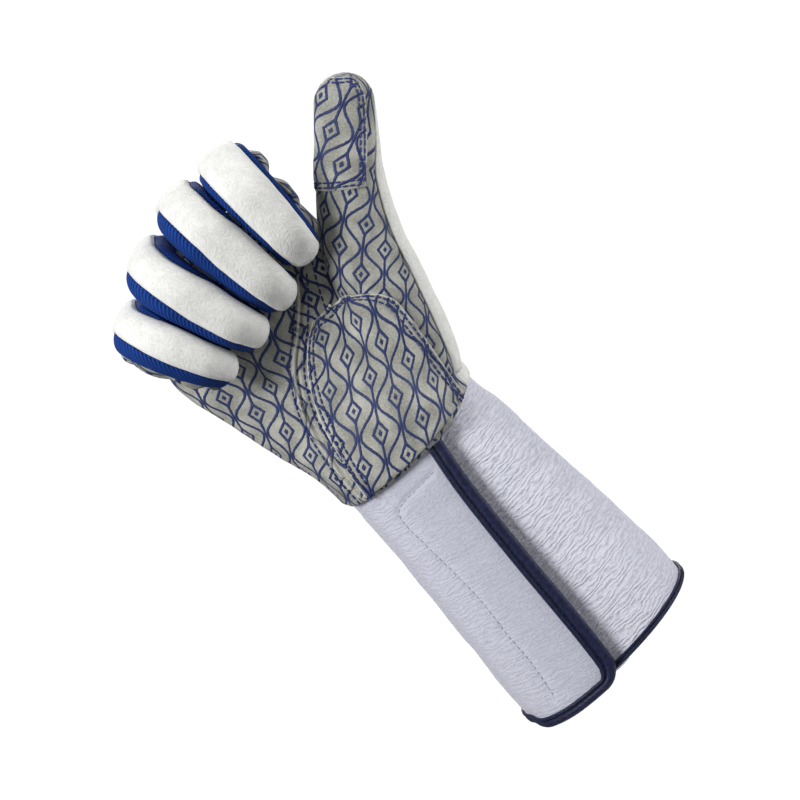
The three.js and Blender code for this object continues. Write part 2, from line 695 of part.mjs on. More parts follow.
function thumbFrame(share) {
  const read = (place) =>
    new THREE.Vector3(
      readTable(THUMB_ROWS, "across", place) * HAND_BREADTH,
      readTable(THUMB_ROWS, "back", place) * HAND_DEPTH,
      GAUNTLET_LENGTH + readTable(THUMB_ROWS, "up", place) * HAND_LENGTH,
    );
  const held = Math.min(Math.max(share, 0.002), 0.998);
  const along = read(held + 0.002).sub(read(held - 0.002)).normalize();
  const front = new THREE.Vector3(0, -1, 0).addScaledVector(along, along.y).normalize();
  return { centre: read(share), along, front, side: along.clone().cross(front) };
}

// Outer face of the thumb. Angle 0 faces the palm side, positive angles turn to the outer side.
function thumbFace(angle, place) {
  const share = Math.min(place, 1);
  const round = radians(90) * Math.max(place - 1, 0);
  const { centre, along, front, side } = thumbFrame(share);
  const half = readTable(THUMB_ROWS, "half", share) * THUMB_WIDTH;
  const depth = half * THUMB_DEPTH_SHARE;
  const s = Math.sin(radians(angle));
  const c = Math.cos(radians(angle));
  const squeeze = Math.cos(round);
  centre.addScaledVector(along, Math.sin(round) * half);
  centre.addScaledVector(front, c * depth * squeeze);
  centre.addScaledVector(side, s * half * squeeze);
  return centre;
}

function thumbPoint(angle, place, lift) {
  const normal = outward(thumbFace, angle, Math.min(place, 1.96), 0.5, 0.004);
  return { point: thumbFace(angle, place).addScaledVector(normal, lift), normal };
}

// Rings of a whole outline moved out or in by a lift, closed into a filled body
function handBody(lift) {
  const rings = [];
  for (let i = 0; i <= 16; i += 1) {
    const ring = [];
    for (let j = 0; j < 48; j += 1) ring.push(handPoint((360 * j) / 48, i / 16, lift).point);
    rings.push(ring);
  }
  return toSolid(filled(rings));
}

const THUMB_PLACES = [0, 0.1, 0.2, 0.3, 0.4, 0.5, 0.6, 0.7, 0.78, 0.86, 0.93, 1, 1.3, 1.6, 1.86, 2];
function thumbBody(lift) {
  const rings = [];
  for (const place of THUMB_PLACES.slice(0, -1)) {
    const ring = [];
    for (let j = 0; j < 32; j += 1) ring.push(thumbPoint((360 * j) / 32, place, lift).point);
    rings.push(ring);
  }
  return toSolid(filled(rings));
}

// Palm and back share the hand's face and part at a seam on each side
const HAND_LEVELS = [0, 0.04, 0.08, 0.13, 0.2, 0.29, 0.39, 0.5, 0.61, 0.72, 0.81, 0.89, 0.95, 1];
const thumbSideSeam = (place) => mix(PALM_SEAM_WRIST_ANGLE, PALM_SEAM_INDEX_ANGLE, smooth(place, 0.1, 0.5));
const SEAM_TRIM = ((GAP / 2) * 360) / (Math.PI * (HAND_BREADTH + HAND_DEPTH));

function handPanel(columns, limits, wall) {
  const last = HAND_LEVELS.length - 1;
  return sheet(
    last,
    columns,
    (row, column) => {
      const place = HAND_LEVELS[Math.round(row * last)];
      const [from, to] = limits(place);
      return handPoint(mix(from + SEAM_TRIM, to - SEAM_TRIM, column), place, 0);
    },
    wall,
  );
}

const thumbHollow = thumbBody(-PADDED_WALL);
const handFilled = handBody(GAP * 2);
const palmLimits = (place) => [-PALM_SEAM_LITTLE_SIDE_ANGLE, thumbSideSeam(place)];
const backLimits = (place) => [thumbSideSeam(place), 360 - PALM_SEAM_LITTLE_SIDE_ANGLE];
const palmGeometry = handPanel(19, palmLimits, LEATHER_WALL);
const backGeometry = handPanel(18, backLimits, PADDED_WALL);
const palmSolid = largest(toSolid(palmGeometry).subtract(thumbHollow));
const backSolid = largest(toSolid(backGeometry).subtract(thumbHollow));

// Thumb panels: printed front and padded back, ending where they meet the hand
function thumbPanel(from, to, columns, wall, shift) {
  const last = THUMB_PLACES.length - 1;
  return sheet(
    last,
    columns,
    (row, column) => {
      const place = THUMB_PLACES[Math.round(row * last)];
      const closed = smooth(place, 0.8, 1.02);
      const cut = ((GAP / THUMB_WIDTH) * 180 * (1 - closed)) / Math.PI;
      const low = mix(from, shift > 0 ? -90 : 90, closed) + cut;
      const high = mix(to, shift > 0 ? 90 : 270, closed) - cut;
      const { point, normal } = thumbPoint(mix(low, high, column), place, 0);
      const { front } = thumbFrame(Math.min(place, 1));
      point.addScaledVector(front, shift * GAP * closed * 1.2);
      return { point, normal };
    },
    wall,
  );
}
const thumbFrontSheet = thumbPanel(-THUMB_SEAM_INNER_ANGLE, THUMB_SEAM_OUTER_ANGLE, 9, LEATHER_WALL, 1);
const thumbBackSheet = thumbPanel(THUMB_SEAM_OUTER_ANGLE, 360 - THUMB_SEAM_INNER_ANGLE, 10, PADDED_WALL, -1);
const thumbFrontSolid = largest(toSolid(thumbFrontSheet).subtract(handFilled));
const thumbBackSolid = largest(toSolid(thumbBackSheet).subtract(handFilled));

// Patches follow the leather below them. The thenar patch covers the palm and the root of the thumb:
// rows from the wrist seam up, with its left and right edge as shares of the hand's breadth.
const THENAR_ROWS = [
  { at: 0.0, left: -0.3, right: 0.352 },
  { at: 0.15, left: -0.281, right: 0.366 },
  { at: 0.32, left: -0.248, right: 0.388 },
  { at: 0.48, left: -0.214, right: 0.408 },
  { at: 0.62, left: -0.172, right: 0.42 },
  { at: 0.75, left: -0.114, right: 0.425 },
  { at: 0.86, left: -0.047, right: 0.39 },
  { at: 0.93, left: 0.01, right: 0.335 },
  { at: 1.0, left: 0.09, right: 0.255 },
];
const THENAR_LEVELS = [0, 0.12, 0.24, 0.36, 0.48, 0.6, 0.7, 0.8, 0.88, 0.94, 1];
const THENAR_COLUMNS = 11;

function thenarGeometry(ground) {
  const caster = new THREE.Raycaster();
  const towardsBack = new THREE.Vector3(0, 1, 0);
  const depthAt = (x, z) => {
    caster.set(new THREE.Vector3(x, -2 * CUFF_DEPTH, z), towardsBack);
    const hits = caster.intersectObjects(ground);
    return hits.length ? hits[0].point.y : 0;
  };
  const place = (level, column) => {
    const left = readTable(THENAR_ROWS, "left", level) * HAND_BREADTH;
    const right = readTable(THENAR_ROWS, "right", level) * HAND_BREADTH;
    const x = mix(left, right, column);
    const turned = (Math.asin(x / (HAND_BREADTH / 2)) * 180) / Math.PI;
    const bottom = wristSeam(turned) + THENAR_FOOT_HEIGHT;
    return [x, mix(bottom, GAUNTLET_LENGTH + THENAR_HEIGHT, level)];
  };
  // The patch bridges the fold between palm and thumb: it takes the nearer of its own and its neighbours' depth.
  const reach = FOLD_BRIDGE_WIDTH / 2;
  const face = (column, level) => {
    const [x, z] = place(level, column);
    const around = (depthAt(x - reach, z) + depthAt(x + reach, z)) / 2;
    const own = depthAt(x, z);
    return new THREE.Vector3(x, Math.min(own, mix(own, around, 0.7)), z);
  };
  const pointAt = (row, column) => {
    const level = THENAR_LEVELS[Math.round(row * (THENAR_LEVELS.length - 1))];
    const held = [Math.min(Math.max(column, 0.02), 0.98), Math.min(Math.max(level, 0.02), 0.98)];
    const normal = outward(face, ...held, 0.02, 0.02);
    return { point: face(column, level).addScaledVector(normal, PATCH_WALL + GAP * 2), normal };
  };
  return sheet(THENAR_LEVELS.length - 1, THENAR_COLUMNS, pointAt, PATCH_WALL);
}
const ground = [handBody(GAP * 2), thumbBody(GAP * 2)];
const groundMeshes = ground.map((solid) => new THREE.Mesh(toGeometry(solid)));
const thenarSheet = toSolid(thenarGeometry(groundMeshes));
const thenarSolid = ground.reduce((left, solid) => left.subtract(solid), thenarSheet);

// Thumb pad: a patch over the ball of the thumb, from its bottom edge over the tip
const PAD_ROWS = [
  { at: 0.8, low: -84, high: 22 },
  { at: 0.86, low: -84, high: 27 },
  { at: 0.93, low: -84, high: 32 },
  { at: 1.0, low: -82, high: 34 },
  { at: 1.2, low: -76, high: 33 },
  { at: 1.4, low: -66, high: 28 },
  { at: 1.54, low: -52, high: 18 },
];
const padGeometry = sheet(
  PAD_ROWS.length - 1,
  7,
  (row, column) => {
    const { at, low, high } = PAD_ROWS[Math.round(row * (PAD_ROWS.length - 1))];
    return thumbPoint(mix(low, high, column), at, GAP * 2 + PATCH_WALL);
  },
  PATCH_WALL,
);

const meshes = [];
function addPiece(name, geometry, look) {
  const material = new THREE.MeshStandardMaterial(look);
  material.name = look.name;
  const mesh = new THREE.Mesh(geometry, material);
  mesh.name = name;
  meshes.push(mesh);
}

const GAUNTLET_CLOTH = { name: "gauntlet_cloth", color: "#cfd1de", roughness: 0.85, metalness: 0 };
const FASTENER_CLOTH = { name: "touch_fastener", color: "#c9cbd6", roughness: 0.95, metalness: 0 };
const EDGE_TAPE = { name: "edge_tape", color: "#20294b", roughness: 0.75, metalness: 0 };
const PRINTED_SUEDE = { name: "printed_suede", color: "#a9aba3", roughness: 0.9, metalness: 0 };
const WHITE_LEATHER = { name: "white_leather", color: "#eeeee9", roughness: 0.7, metalness: 0 };
const BLUE_KNIT = { name: "blue_knit", color: "#1b3f94", roughness: 0.9, metalness: 0 };

addPiece("gauntlet", gauntletGeometry, GAUNTLET_CLOTH);
addPiece("touch_fastener", fastenerGeometry, FASTENER_CLOTH);
addPiece("edge_tape", tapeGeometry(), EDGE_TAPE);
addPiece("palm", toGeometry(palmSolid), PRINTED_SUEDE);
addPiece("thenar_patch", toGeometry(largest(thenarSolid)), PRINTED_SUEDE);
addPiece("thumb_pad", padGeometry, PRINTED_SUEDE);
addPiece("hand_back", toGeometry(backSolid), WHITE_LEATHER);
addPiece("thumb_front", toGeometry(thumbFrontSolid), PRINTED_SUEDE);
addPiece("thumb_back", toGeometry(thumbBackSolid), WHITE_LEATHER);
FINGERS.forEach((finger, index) => {
  addPiece(`${finger.name}_back`, fingerBack(index), WHITE_LEATHER);
  addPiece(`${finger.name}_front`, fingerFront(index), PRINTED_SUEDE);
  addPiece(`${finger.name}_side_a`, fingerSide(index, 1), BLUE_KNIT);
  addPiece(`${finger.name}_side_b`, fingerSide(index, -1), BLUE_KNIT);
});

const glove = new THREE.Group();
glove.name = "fencing_glove";
glove.add(...meshes);

export default glove;
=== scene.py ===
# %% [markdown]
# A fencing glove, dressed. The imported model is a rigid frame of 25 thin shells: gauntlet, palm, padded backs,
# knit strips and patches. Cloth and leather need more than flat facets, so every shell gets a finer piece of its
# own here, made from the same rules: an outer face over rows and columns, a wall behind it, and its edges turned in
# at the seams. Lengths are millimetres until a mesh is made, because glove makers and seams are easier to follow
# that way.

import math

import bmesh
import bpy
import numpy as np
from mathutils import Matrix, Vector
from mathutils.bvhtree import BVHTree


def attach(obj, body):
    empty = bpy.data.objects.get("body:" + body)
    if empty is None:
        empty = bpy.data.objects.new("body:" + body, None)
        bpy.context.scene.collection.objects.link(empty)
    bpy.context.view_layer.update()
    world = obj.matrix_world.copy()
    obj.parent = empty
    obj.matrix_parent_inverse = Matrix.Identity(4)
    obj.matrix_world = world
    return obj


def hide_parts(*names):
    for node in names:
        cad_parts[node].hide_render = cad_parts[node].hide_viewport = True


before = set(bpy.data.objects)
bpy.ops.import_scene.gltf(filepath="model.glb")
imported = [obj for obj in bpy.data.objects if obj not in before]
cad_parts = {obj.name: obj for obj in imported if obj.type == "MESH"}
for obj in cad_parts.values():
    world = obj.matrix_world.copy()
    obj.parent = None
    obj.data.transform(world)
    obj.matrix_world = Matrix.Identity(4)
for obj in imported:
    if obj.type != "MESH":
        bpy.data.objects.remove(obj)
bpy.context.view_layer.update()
MM = 0.001

# %% [markdown]
# Two small tools serve every piece. A table of sections is read with a smooth curve through its rows, so a few
# honest measurements give a soft outline. A section itself is a rounded rectangle: the higher its roundness number,
# the squarer its corners, which is how a padded finger differs from a plain tube.

# %% Reading tables and sections
def smooth(x, low, high):
    t = np.clip((np.asarray(x, float) - low) / (high - low), 0, 1)
    return t * t * (3 - 2 * t)


def mix(a, b, t):
    return a + (b - a) * t


def read(table, column, place):
    at, values = np.array(table["at"], float), np.array(table[column], float)
    low, high = np.maximum(np.arange(len(at)) - 1, 0), np.minimum(np.arange(len(at)) + 1, len(at) - 1)
    slope = (values[high] - values[low]) / (at[high] - at[low])
    t = np.clip(np.asarray(place, float), at[0], at[-1])
    k = np.clip(np.searchsorted(at, t, side="right") - 1, 0, len(at) - 2)
    span = at[k + 1] - at[k]
    f = (t - at[k]) / span
    start = (2 * f**3 - 3 * f**2 + 1) * values[k] + (f**3 - 2 * f**2 + f) * span * slope[k]
    return start + (3 * f**2 - 2 * f**3) * values[k + 1] + (f**3 - f**2) * span * slope[k + 1]


def section(angle, roundness):
    s, c = np.sin(np.radians(angle)), np.cos(np.radians(angle))
    size = (np.abs(s) ** roundness + np.abs(c) ** roundness) ** (1 / roundness)
    return s / size, c / size


def oval_point(oval, angle, out):
    sideways, forwards = section(angle, oval["roundness"])
    depth = np.where(forwards > 0, oval["front"], oval["back"])
    return oval["centre"] + (oval["half"] + out) * sideways, oval["middle"] - (depth + out) * forwards


print("a section at 45 degrees, round and squarer:",
      [np.round(section(45, roundness), 2).tolist() for roundness in (2, 3.6)])

# %% [markdown]
# Soft goods are never quite even. A gradient noise with a fixed seed gives the slow swells and puckers that thread
# tension and wear leave behind, and it repeats exactly from run to run.

# %% Even, repeatable unevenness
NOISE_GRID = np.random.default_rng(7).uniform(-1, 1, (64, 64, 2))


def noise(u, v):
    iu, iv = np.floor(u).astype(int), np.floor(v).astype(int)
    fu, fv = u - iu, v - iv
    su, sv = fu * fu * fu * (fu * (6 * fu - 15) + 10), fv * fv * fv * (fv * (6 * fv - 15) + 10)
    corner = [[None, None], [None, None]]
    for a in (0, 1):
        for b in (0, 1):
            g = NOISE_GRID[(iu + a) % 64, (iv + b) % 64]
            corner[a][b] = g[..., 0] * (fu - a) + g[..., 1] * (fv - b)
    return mix(mix(corner[0][0], corner[1][0], su), mix(corner[0][1], corner[1][1], su), sv)


def layered(u, v, layers=3):
    return sum(noise(u * 2**k + 9.7 * k, v * 2**k + 3.1 * k) / 2**k for k in range(layers))


print("unevenness at three places:", np.round(layered(np.array([0.3, 1.7, 4.2]), np.full(3, 0.5)), 2).tolist())

# %% [markdown]
# The gauntlet is one sheet of soft cloth. It starts under the flap, runs round the forearm and ends as the flap,
# which lies on the underlap and so stands a few millimetres proud. These are the sizes that the frame was made from.

# %% Gauntlet: sizes and outer face
GAP = 0.3
GAUNTLET_WALL, LEATHER_WALL, PADDED_WALL, KNIT_WALL, PATCH_WALL, TAPE_WALL = 2.0, 1.6, 2.2, 1.4, 1.2, 0.8
GAUNTLET_LENGTH, CUFF_WIDTH, CUFF_DEPTH, TUCK_LENGTH = 130, 97, 76, 8
FLAP_RISE_START, FLAP_RISE_END, FLAP_DROP_END, UNDERLAP_ANGLE = 286, 311, 330, 47
FLAP_HEM_LIFT, FLAP_WRIST_LIFT, FLAP_HEM_DROP, SLIT_CORNER_RADIUS = 4.6, 3.5, 2.5, 9
GAUNTLET_ROUNDNESS = 2.15
GAUNTLET_ROWS = {
    "at": (0, 0.15, 0.4, 0.65, 0.85, 0.92, 0.97, 1.15),
    "centre": (-0.005, 0.003, 0.016, 0.026, 0.034, 0.032, 0.027, 0.023),
    "half": (0.5, 0.498, 0.474, 0.443, 0.426, 0.419, 0.408, 0.402),
    "depth": (0.5, 0.487, 0.452, 0.412, 0.381, 0.371, 0.361, 0.356),
}
SLIT_ROWS = {"at": (0, 0.1, 0.25, 0.54, 0.82, 1), "x": (-0.045, -0.02, 0.004, 0.04, 0.083, 0.128)}
CREASES = {
    "height": (0.93, 0.8, 0.67, 0.52, 0.36, 0.88, 0.62, 0.3),
    "angle": (48, 62, 46, 58, 52, 182, 205, 268),
    "reach": (34, 38, 36, 42, 38, 55, 50, 36),
    "depth": (0.4, 0.5, 0.4, 0.4, 0.4, 0.8, 0.7, 0.6),
    "width": (4.5, 5, 5, 5.5, 6, 6, 6, 7),
    "slope": (5, -6, -4, 6, -6, 4, -5, 5),
}


def flap_lift(height):
    return mix(FLAP_HEM_LIFT, FLAP_WRIST_LIFT, height / GAUNTLET_LENGTH)


def gauntlet_oval(height):
    place = height / GAUNTLET_LENGTH
    depth = read(GAUNTLET_ROWS, "depth", place) * CUFF_DEPTH
    return {"centre": read(GAUNTLET_ROWS, "centre", place) * CUFF_WIDTH, "middle": 0.0,
            "half": read(GAUNTLET_ROWS, "half", place) * CUFF_WIDTH, "front": depth, "back": depth,
            "roundness": GAUNTLET_ROUNDNESS}


def crease_depth(angle, height):
    depth = 0
    for k in range(len(CREASES["height"])):
        c = {name: CREASES[name][k] for name in CREASES}
        along = (angle - c["angle"]) / c["reach"]
        across = (height - c["height"] * GAUNTLET_LENGTH - c["slope"] * along) / c["width"]
        depth = depth + c["depth"] * np.exp(-2 * along * along - across * across)
    return depth


def gauntlet_face(angle, height):
    angle, height = np.broadcast_arrays(np.asarray(angle, float), np.asarray(height, float))
    out = flap_lift(height) * smooth(angle, FLAP_RISE_START, FLAP_RISE_END) - crease_depth(angle, height)
    x, y = oval_point(gauntlet_oval(height), angle, out)
    turned = smooth(angle, FLAP_RISE_START, FLAP_DROP_END)
    drop = FLAP_HEM_DROP * turned * (1 - smooth(height / GAUNTLET_LENGTH, -0.05, 0.385))
    return np.stack([x, y, height - drop], -1)


def wrist_seam(angle):
    side = np.sin(np.radians(angle))
    return GAUNTLET_LENGTH - 0.5 + 5 * side * side + 1.5 * side * np.abs(side)


def slit_x(height):
    rise = np.clip(SLIT_CORNER_RADIUS - height, 0, SLIT_CORNER_RADIUS)
    cut = SLIT_CORNER_RADIUS - np.sqrt(SLIT_CORNER_RADIUS**2 - rise**2)
    return read(SLIT_ROWS, "x", height / GAUNTLET_LENGTH) * CUFF_WIDTH - cut


def flap_angle(x, height):
    oval = gauntlet_oval(height)
    sideways = np.clip((x - oval["centre"]) / (oval["half"] + flap_lift(height)), -0.999, 0.999)
    forwards = (1 - np.abs(sideways) ** oval["roundness"]) ** (1 / oval["roundness"])
    return 360 + np.degrees(np.arctan2(sideways, forwards))


print("gauntlet mouth:", np.round(gauntlet_face([0, 90, 180, 270], 0), 1).tolist())

# %% [markdown]
# Hand and thumb follow. The hand's section grows from a flat oval at the wrist to a wide, squarer one at the
# knuckles, and its lower edge laps over the gauntlet. The thumb has a middle line of its own, round which its
# section turns, and ends in a rounded tip.

# %% Hand and thumb: sizes and outer faces
HAND_BREADTH, HAND_DEPTH, HAND_LENGTH, LAP_SHARE, BLEND_SHARE = 97, 44, 145.5, 0.08, 0.36
KNUCKLE_HEIGHT, KNUCKLE_BEND_Y = GAUNTLET_LENGTH + HAND_LENGTH, 0.2045 * HAND_DEPTH
HAND_ROWS = {
    "at": (0, 0.17, 0.36, 0.6, 0.85, 1),
    "left": (-0.42, -0.435, -0.465, -0.515, -0.568, -0.545),
    "right": (0.45, 0.45, 0.455, 0.452, 0.44, 0.422),
    "front": (-0.66, -0.6, -0.45, -0.3, -0.24, -0.045),
    "back": (0.66, 0.6, 0.56, 0.52, 0.49, 0.455),
    "roundness": (2.15, 2.2, 2.35, 2.5, 2.7, 3.2),
}
TOP_ROWS = {
    "at": (-0.56, -0.412, -0.3, -0.25, -0.177, -0.057, -0.012, 0.06, 0.3, 0.44),
    "height": (0.7217, 0.7601, 0.7879, 0.8447, 0.858, 0.876, 0.9034, 0.9059, 0.9034, 0.9006),
}
THUMB_WIDTH, THUMB_DEPTH_SHARE = 40, 0.88
THUMB_ROWS = {
    "at": (0, 0.13, 0.37, 0.62, 0.83, 0.92, 1),
    "across": (0.232, 0.291, 0.4, 0.5175, 0.678, 0.7835, 0.895),
    "back": (-0.091, -0.159, -0.205, -0.273, -0.341, -0.352, -0.341),
    "up": (0.069, 0.172, 0.375, 0.577, 0.739, 0.818, 0.902),
    "half": (0.43, 0.49, 0.5, 0.455, 0.37, 0.34, 0.325),
}


def hand_oval(place):
    left, right, front, back = (read(HAND_ROWS, name, place) * size for name, size in
                                (("left", HAND_BREADTH), ("right", HAND_BREADTH), ("front", HAND_DEPTH),
                                 ("back", HAND_DEPTH)))
    middle = KNUCKLE_BEND_Y * smooth(place, 0, 1)
    return {"centre": (left + right) / 2, "half": (right - left) / 2, "front": middle - front,
            "back": back - middle, "middle": middle, "roundness": read(HAND_ROWS, "roundness", place)}


def lap_lift(angle):
    turned = (np.asarray(angle, float) + 180) % 360 - 180
    rise = smooth(turned, FLAP_RISE_START - 364, FLAP_RISE_END - 360)
    return FLAP_WRIST_LIFT * np.minimum(rise, 1 - smooth(turned, 24, 50))


def hand_face(angle, place):
    angle, place = np.broadcast_arrays(np.asarray(angle, float), np.asarray(place, float))
    top_x, _ = oval_point(hand_oval(np.ones_like(place)), angle, 0)
    top = GAUNTLET_LENGTH + read(TOP_ROWS, "height", top_x / HAND_BREADTH) * HAND_LENGTH
    height = mix(wrist_seam(angle), top, place)
    x, y = oval_point(hand_oval(place), angle, 0)
    lap_x, lap_y = oval_point(gauntlet_oval(height), angle, GAP + PADDED_WALL + lap_lift(angle))
    blend = smooth(place, LAP_SHARE, BLEND_SHARE)
    return np.stack([mix(lap_x, x, blend), mix(lap_y, y, blend), height], -1)


def unit(v):
    return v / np.maximum(np.linalg.norm(v, axis=-1, keepdims=True), 1e-12)


def thumb_line(share):
    return np.stack([read(THUMB_ROWS, "across", share) * HAND_BREADTH, read(THUMB_ROWS, "back", share) * HAND_DEPTH,
                     GAUNTLET_LENGTH + read(THUMB_ROWS, "up", share) * HAND_LENGTH], -1)


def thumb_face(angle, place):
    angle, place = np.broadcast_arrays(np.asarray(angle, float), np.asarray(place, float))
    share = np.minimum(place, 1)
    turn = np.radians(90) * np.maximum(place - 1, 0)
    held = np.clip(share, 0.002, 0.998)
    along = unit(thumb_line(held + 0.002) - thumb_line(held - 0.002))
    front = unit(np.array([0, -1.0, 0]) + along * along[..., 1:2])
    side = np.cross(along, front)
    half = (read(THUMB_ROWS, "half", share) * THUMB_WIDTH)[..., None]
    s, c = (f(np.radians(angle))[..., None] for f in (np.sin, np.cos))
    squeeze = np.cos(turn)[..., None]
    return (thumb_line(share) + along * np.sin(turn)[..., None] * half
            + front * c * half * THUMB_DEPTH_SHARE * squeeze + side * s * half * squeeze)


print("thumb tip:", np.round(thumb_face(0, 2), 1).tolist())

# %% [markdown]
# The four fingers share one rule. A line leaves the knuckle, bends forward by 90 degrees, runs along the first bone,
# bends down by 95, then by 37 at the last joint.

# %% Fingers: sizes and middle lines
FINGER_WIDTH, FINGER_THICKNESS = 0.2557 * HAND_BREADTH, 0.518 * HAND_DEPTH
BEND_RADIUS, FINGER_ROOT_LENGTH = 0.592 * FINGER_THICKNESS, 1
MIDDLE_JOINT_Y, MIDDLE_BONE_LENGTH, TIP_BONE_LENGTH = KNUCKLE_BEND_Y - 45.5, 20, 10
MIDDLE_JOINT_BEND, TIP_JOINT_BEND = 95, 37
FINGERS = [
    dict(name="index", knuckle=0.309, joint=0.301, drop=0, slant=-2, width=0.98, middle=0.65, tip=0.9),
    dict(name="middle", knuckle=0.052, joint=0.03, drop=-0.004, slant=4, width=0.99, middle=1, tip=1.05),
    dict(name="ring", knuckle=-0.211, joint=-0.266, drop=0.047, slant=13.5, width=0.97, middle=0.875, tip=0.9),
    dict(name="little", knuckle=-0.468, joint=-0.494, drop=0.15, slant=22, width=0.96, middle=0.375, tip=0.65),
]
FINGER_ROWS = {
    "at": (0, 0.14, 0.3, 0.52, 0.7, 0.84, 1),
    "width": (0.97, 0.98, 0.96, 1, 0.95, 0.88, 0.78),
    "thick": (0.97, 1, 0.97, 1, 0.95, 0.9, 0.8),
    "roundness": (3.6, 3, 2.5, 2.3, 2.3, 2.2, 2),
}


def finger_line(finger, share):
    """Middle of the finger and its directions along, towards its back, and sideways, at shares of its length."""
    slant = math.radians(finger["slant"])
    up = np.array([-math.sin(slant), 0, math.cos(slant)])
    height = KNUCKLE_HEIGHT - HAND_LENGTH * finger["drop"]
    knuckle = np.array([finger["knuckle"] * HAND_BREADTH, KNUCKLE_BEND_Y, height])
    forward = np.array([finger["joint"] * HAND_BREADTH, MIDDLE_JOINT_Y, height]) - knuckle
    reach = np.linalg.norm(forward)
    forward = unit(forward - up * (forward @ up))
    turn_length = lambda degrees: BEND_RADIUS * math.tan(math.radians(degrees / 2))
    bend_length = lambda degrees: BEND_RADIUS * math.radians(degrees)
    parts = [(FINGER_ROOT_LENGTH, 0), (bend_length(90), 90),
             (reach - turn_length(90) - turn_length(MIDDLE_JOINT_BEND), 0),
             (bend_length(MIDDLE_JOINT_BEND), 1), (finger["middle"] * MIDDLE_BONE_LENGTH, 0),
             (bend_length(TIP_JOINT_BEND), 1), (finger["tip"] * TIP_BONE_LENGTH, 0)]
    left = np.asarray(share, float) * sum(length for length, _ in parts)
    facing = lambda a: up * np.cos(a)[..., None] + forward * np.sin(a)[..., None]
    angle = np.zeros_like(left)
    centre = knuckle - up * (BEND_RADIUS + FINGER_ROOT_LENGTH) + 0 * left[..., None]
    for length, bend in parts:
        run = np.clip(left, 0, length)
        if bend:
            swept = run / BEND_RADIUS
            centre = centre + facing(angle) * (BEND_RADIUS * np.sin(swept))[..., None]
            centre = centre + facing(angle + np.pi / 2) * (BEND_RADIUS * (1 - np.cos(swept)))[..., None]
            angle = angle + swept
        else:
            centre = centre + facing(angle) * run[..., None]
        left = left - run
    along, top = facing(angle), facing(angle - np.pi / 2)
    return centre, along, top, np.cross(along, top)


print("ends of the fingers' middle lines:", [np.round(finger_line(f, np.ones(1))[0][0]).tolist() for f in FINGERS])

# %% [markdown]
# Neighbouring fingers press each other flat along a plane between their middle lines. In a hard model that is a
# clean cut. Padding gives way bit by bit, so here the flat starts softly.

# %% Fingers: pressed sides and outer face
def plane_x(finger, y, z):
    height = KNUCKLE_HEIGHT - HAND_LENGTH * finger["drop"]
    spread = (finger["knuckle"] - finger["joint"]) * HAND_BREADTH / (KNUCKLE_BEND_Y - MIDDLE_JOINT_Y)
    return (finger["joint"] * HAND_BREADTH + spread * (y - MIDDLE_JOINT_Y)
            + math.tan(math.radians(finger["slant"])) * (height - z))


def soft_least(a, b, width=1.2):
    t = np.clip(0.5 + 0.5 * (b - a) / width, 0, 1)
    return mix(b, a, t) - width * t * (1 - t) / 2


def pressed(p, index):
    own = FINGERS[index]
    for step in (-1, 1):
        if 0 <= index + step < len(FINGERS):
            other = FINGERS[index + step]
            share = own["width"] / (own["width"] + other["width"])
            limit = mix(plane_x(own, p[..., 1], p[..., 2]), plane_x(other, p[..., 1], p[..., 2]), share)
            if step < 0:
                p[..., 0] = soft_least(p[..., 0], limit - GAP / 2)
            else:
                p[..., 0] = -soft_least(-p[..., 0], -(limit + GAP / 2))
    return p


def finger_face(index, angle, place, out=0.0):
    angle, place = np.broadcast_arrays(np.asarray(angle, float), np.asarray(place, float))
    share, turn = np.minimum(place, 1), np.radians(90) * np.maximum(place - 1, 0)
    finger = FINGERS[index]
    centre, along, top, side = finger_line(finger, share)
    half = read(FINGER_ROWS, "width", share) * FINGER_WIDTH * finger["width"] / 2 + out
    thick = read(FINGER_ROWS, "thick", share) * FINGER_THICKNESS / 2
    sideways, upwards = section(angle, read(FINGER_ROWS, "roundness", share))
    squeeze = np.cos(turn)
    p = (centre + along * (np.sin(turn) * half * 0.95)[..., None] + top * (upwards * thick * squeeze)[..., None]
         + side * (sideways * half * squeeze)[..., None])
    return pressed(p, index)


print("finger tips:", [np.round(finger_face(k, 0, 2)).tolist() for k in range(4)])

# %% [markdown]
# A panel is a grid of points. Its directions out come from the grid itself. Its edges sink, so that two panels meet
# in a soft seam groove instead of a knife edge. Each point keeps its distance along and across the panel in
# millimetres as a UV map. Print, knit and creases are drawn on that map, so they bend with the leather as the real
# ones do.

# %% Directions out, lengths and edges
POLE_ROW, FREE_ROW = 1, 6  # rows narrower than FREE_ROW lie near a pole, and come to share one direction out


def outward(points):
    across, along = np.gradient(points, axis=1), np.gradient(points, axis=0)
    normal = np.cross(across, along)
    size = np.linalg.norm(normal, axis=-1)
    for i in range(1, len(normal)):
        weak = size[i] < 1e-4
        normal[i][weak] = normal[i - 1][weak]
        if weak.all():
            normal[i] = unit(normal[i - 1]).mean(0)
    normal = unit(normal)
    width = np.linalg.norm(np.diff(points, axis=1), axis=-1).sum(1)
    near_pole = (1 - smooth(width, POLE_ROW, FREE_ROW))[:, None, None]
    return unit(mix(normal, unit(normal.mean(1, keepdims=True)), near_pole))


def lifted(points, out):
    """The grid moved out along its own directions, by millimetres that may differ from point to point."""
    return points + outward(points) * np.asarray(out)[..., None]


def lengths(points, axis):
    step = np.linalg.norm(np.diff(points, axis=axis), axis=-1)
    pad = [(0, 0), (0, 0)]
    pad[axis] = (1, 0)
    return np.pad(np.cumsum(step, axis=axis), pad)


def flat_map(points):
    u, v = lengths(points, 1), lengths(points, 0)
    return u - u[:, u.shape[1] // 2][:, None], v


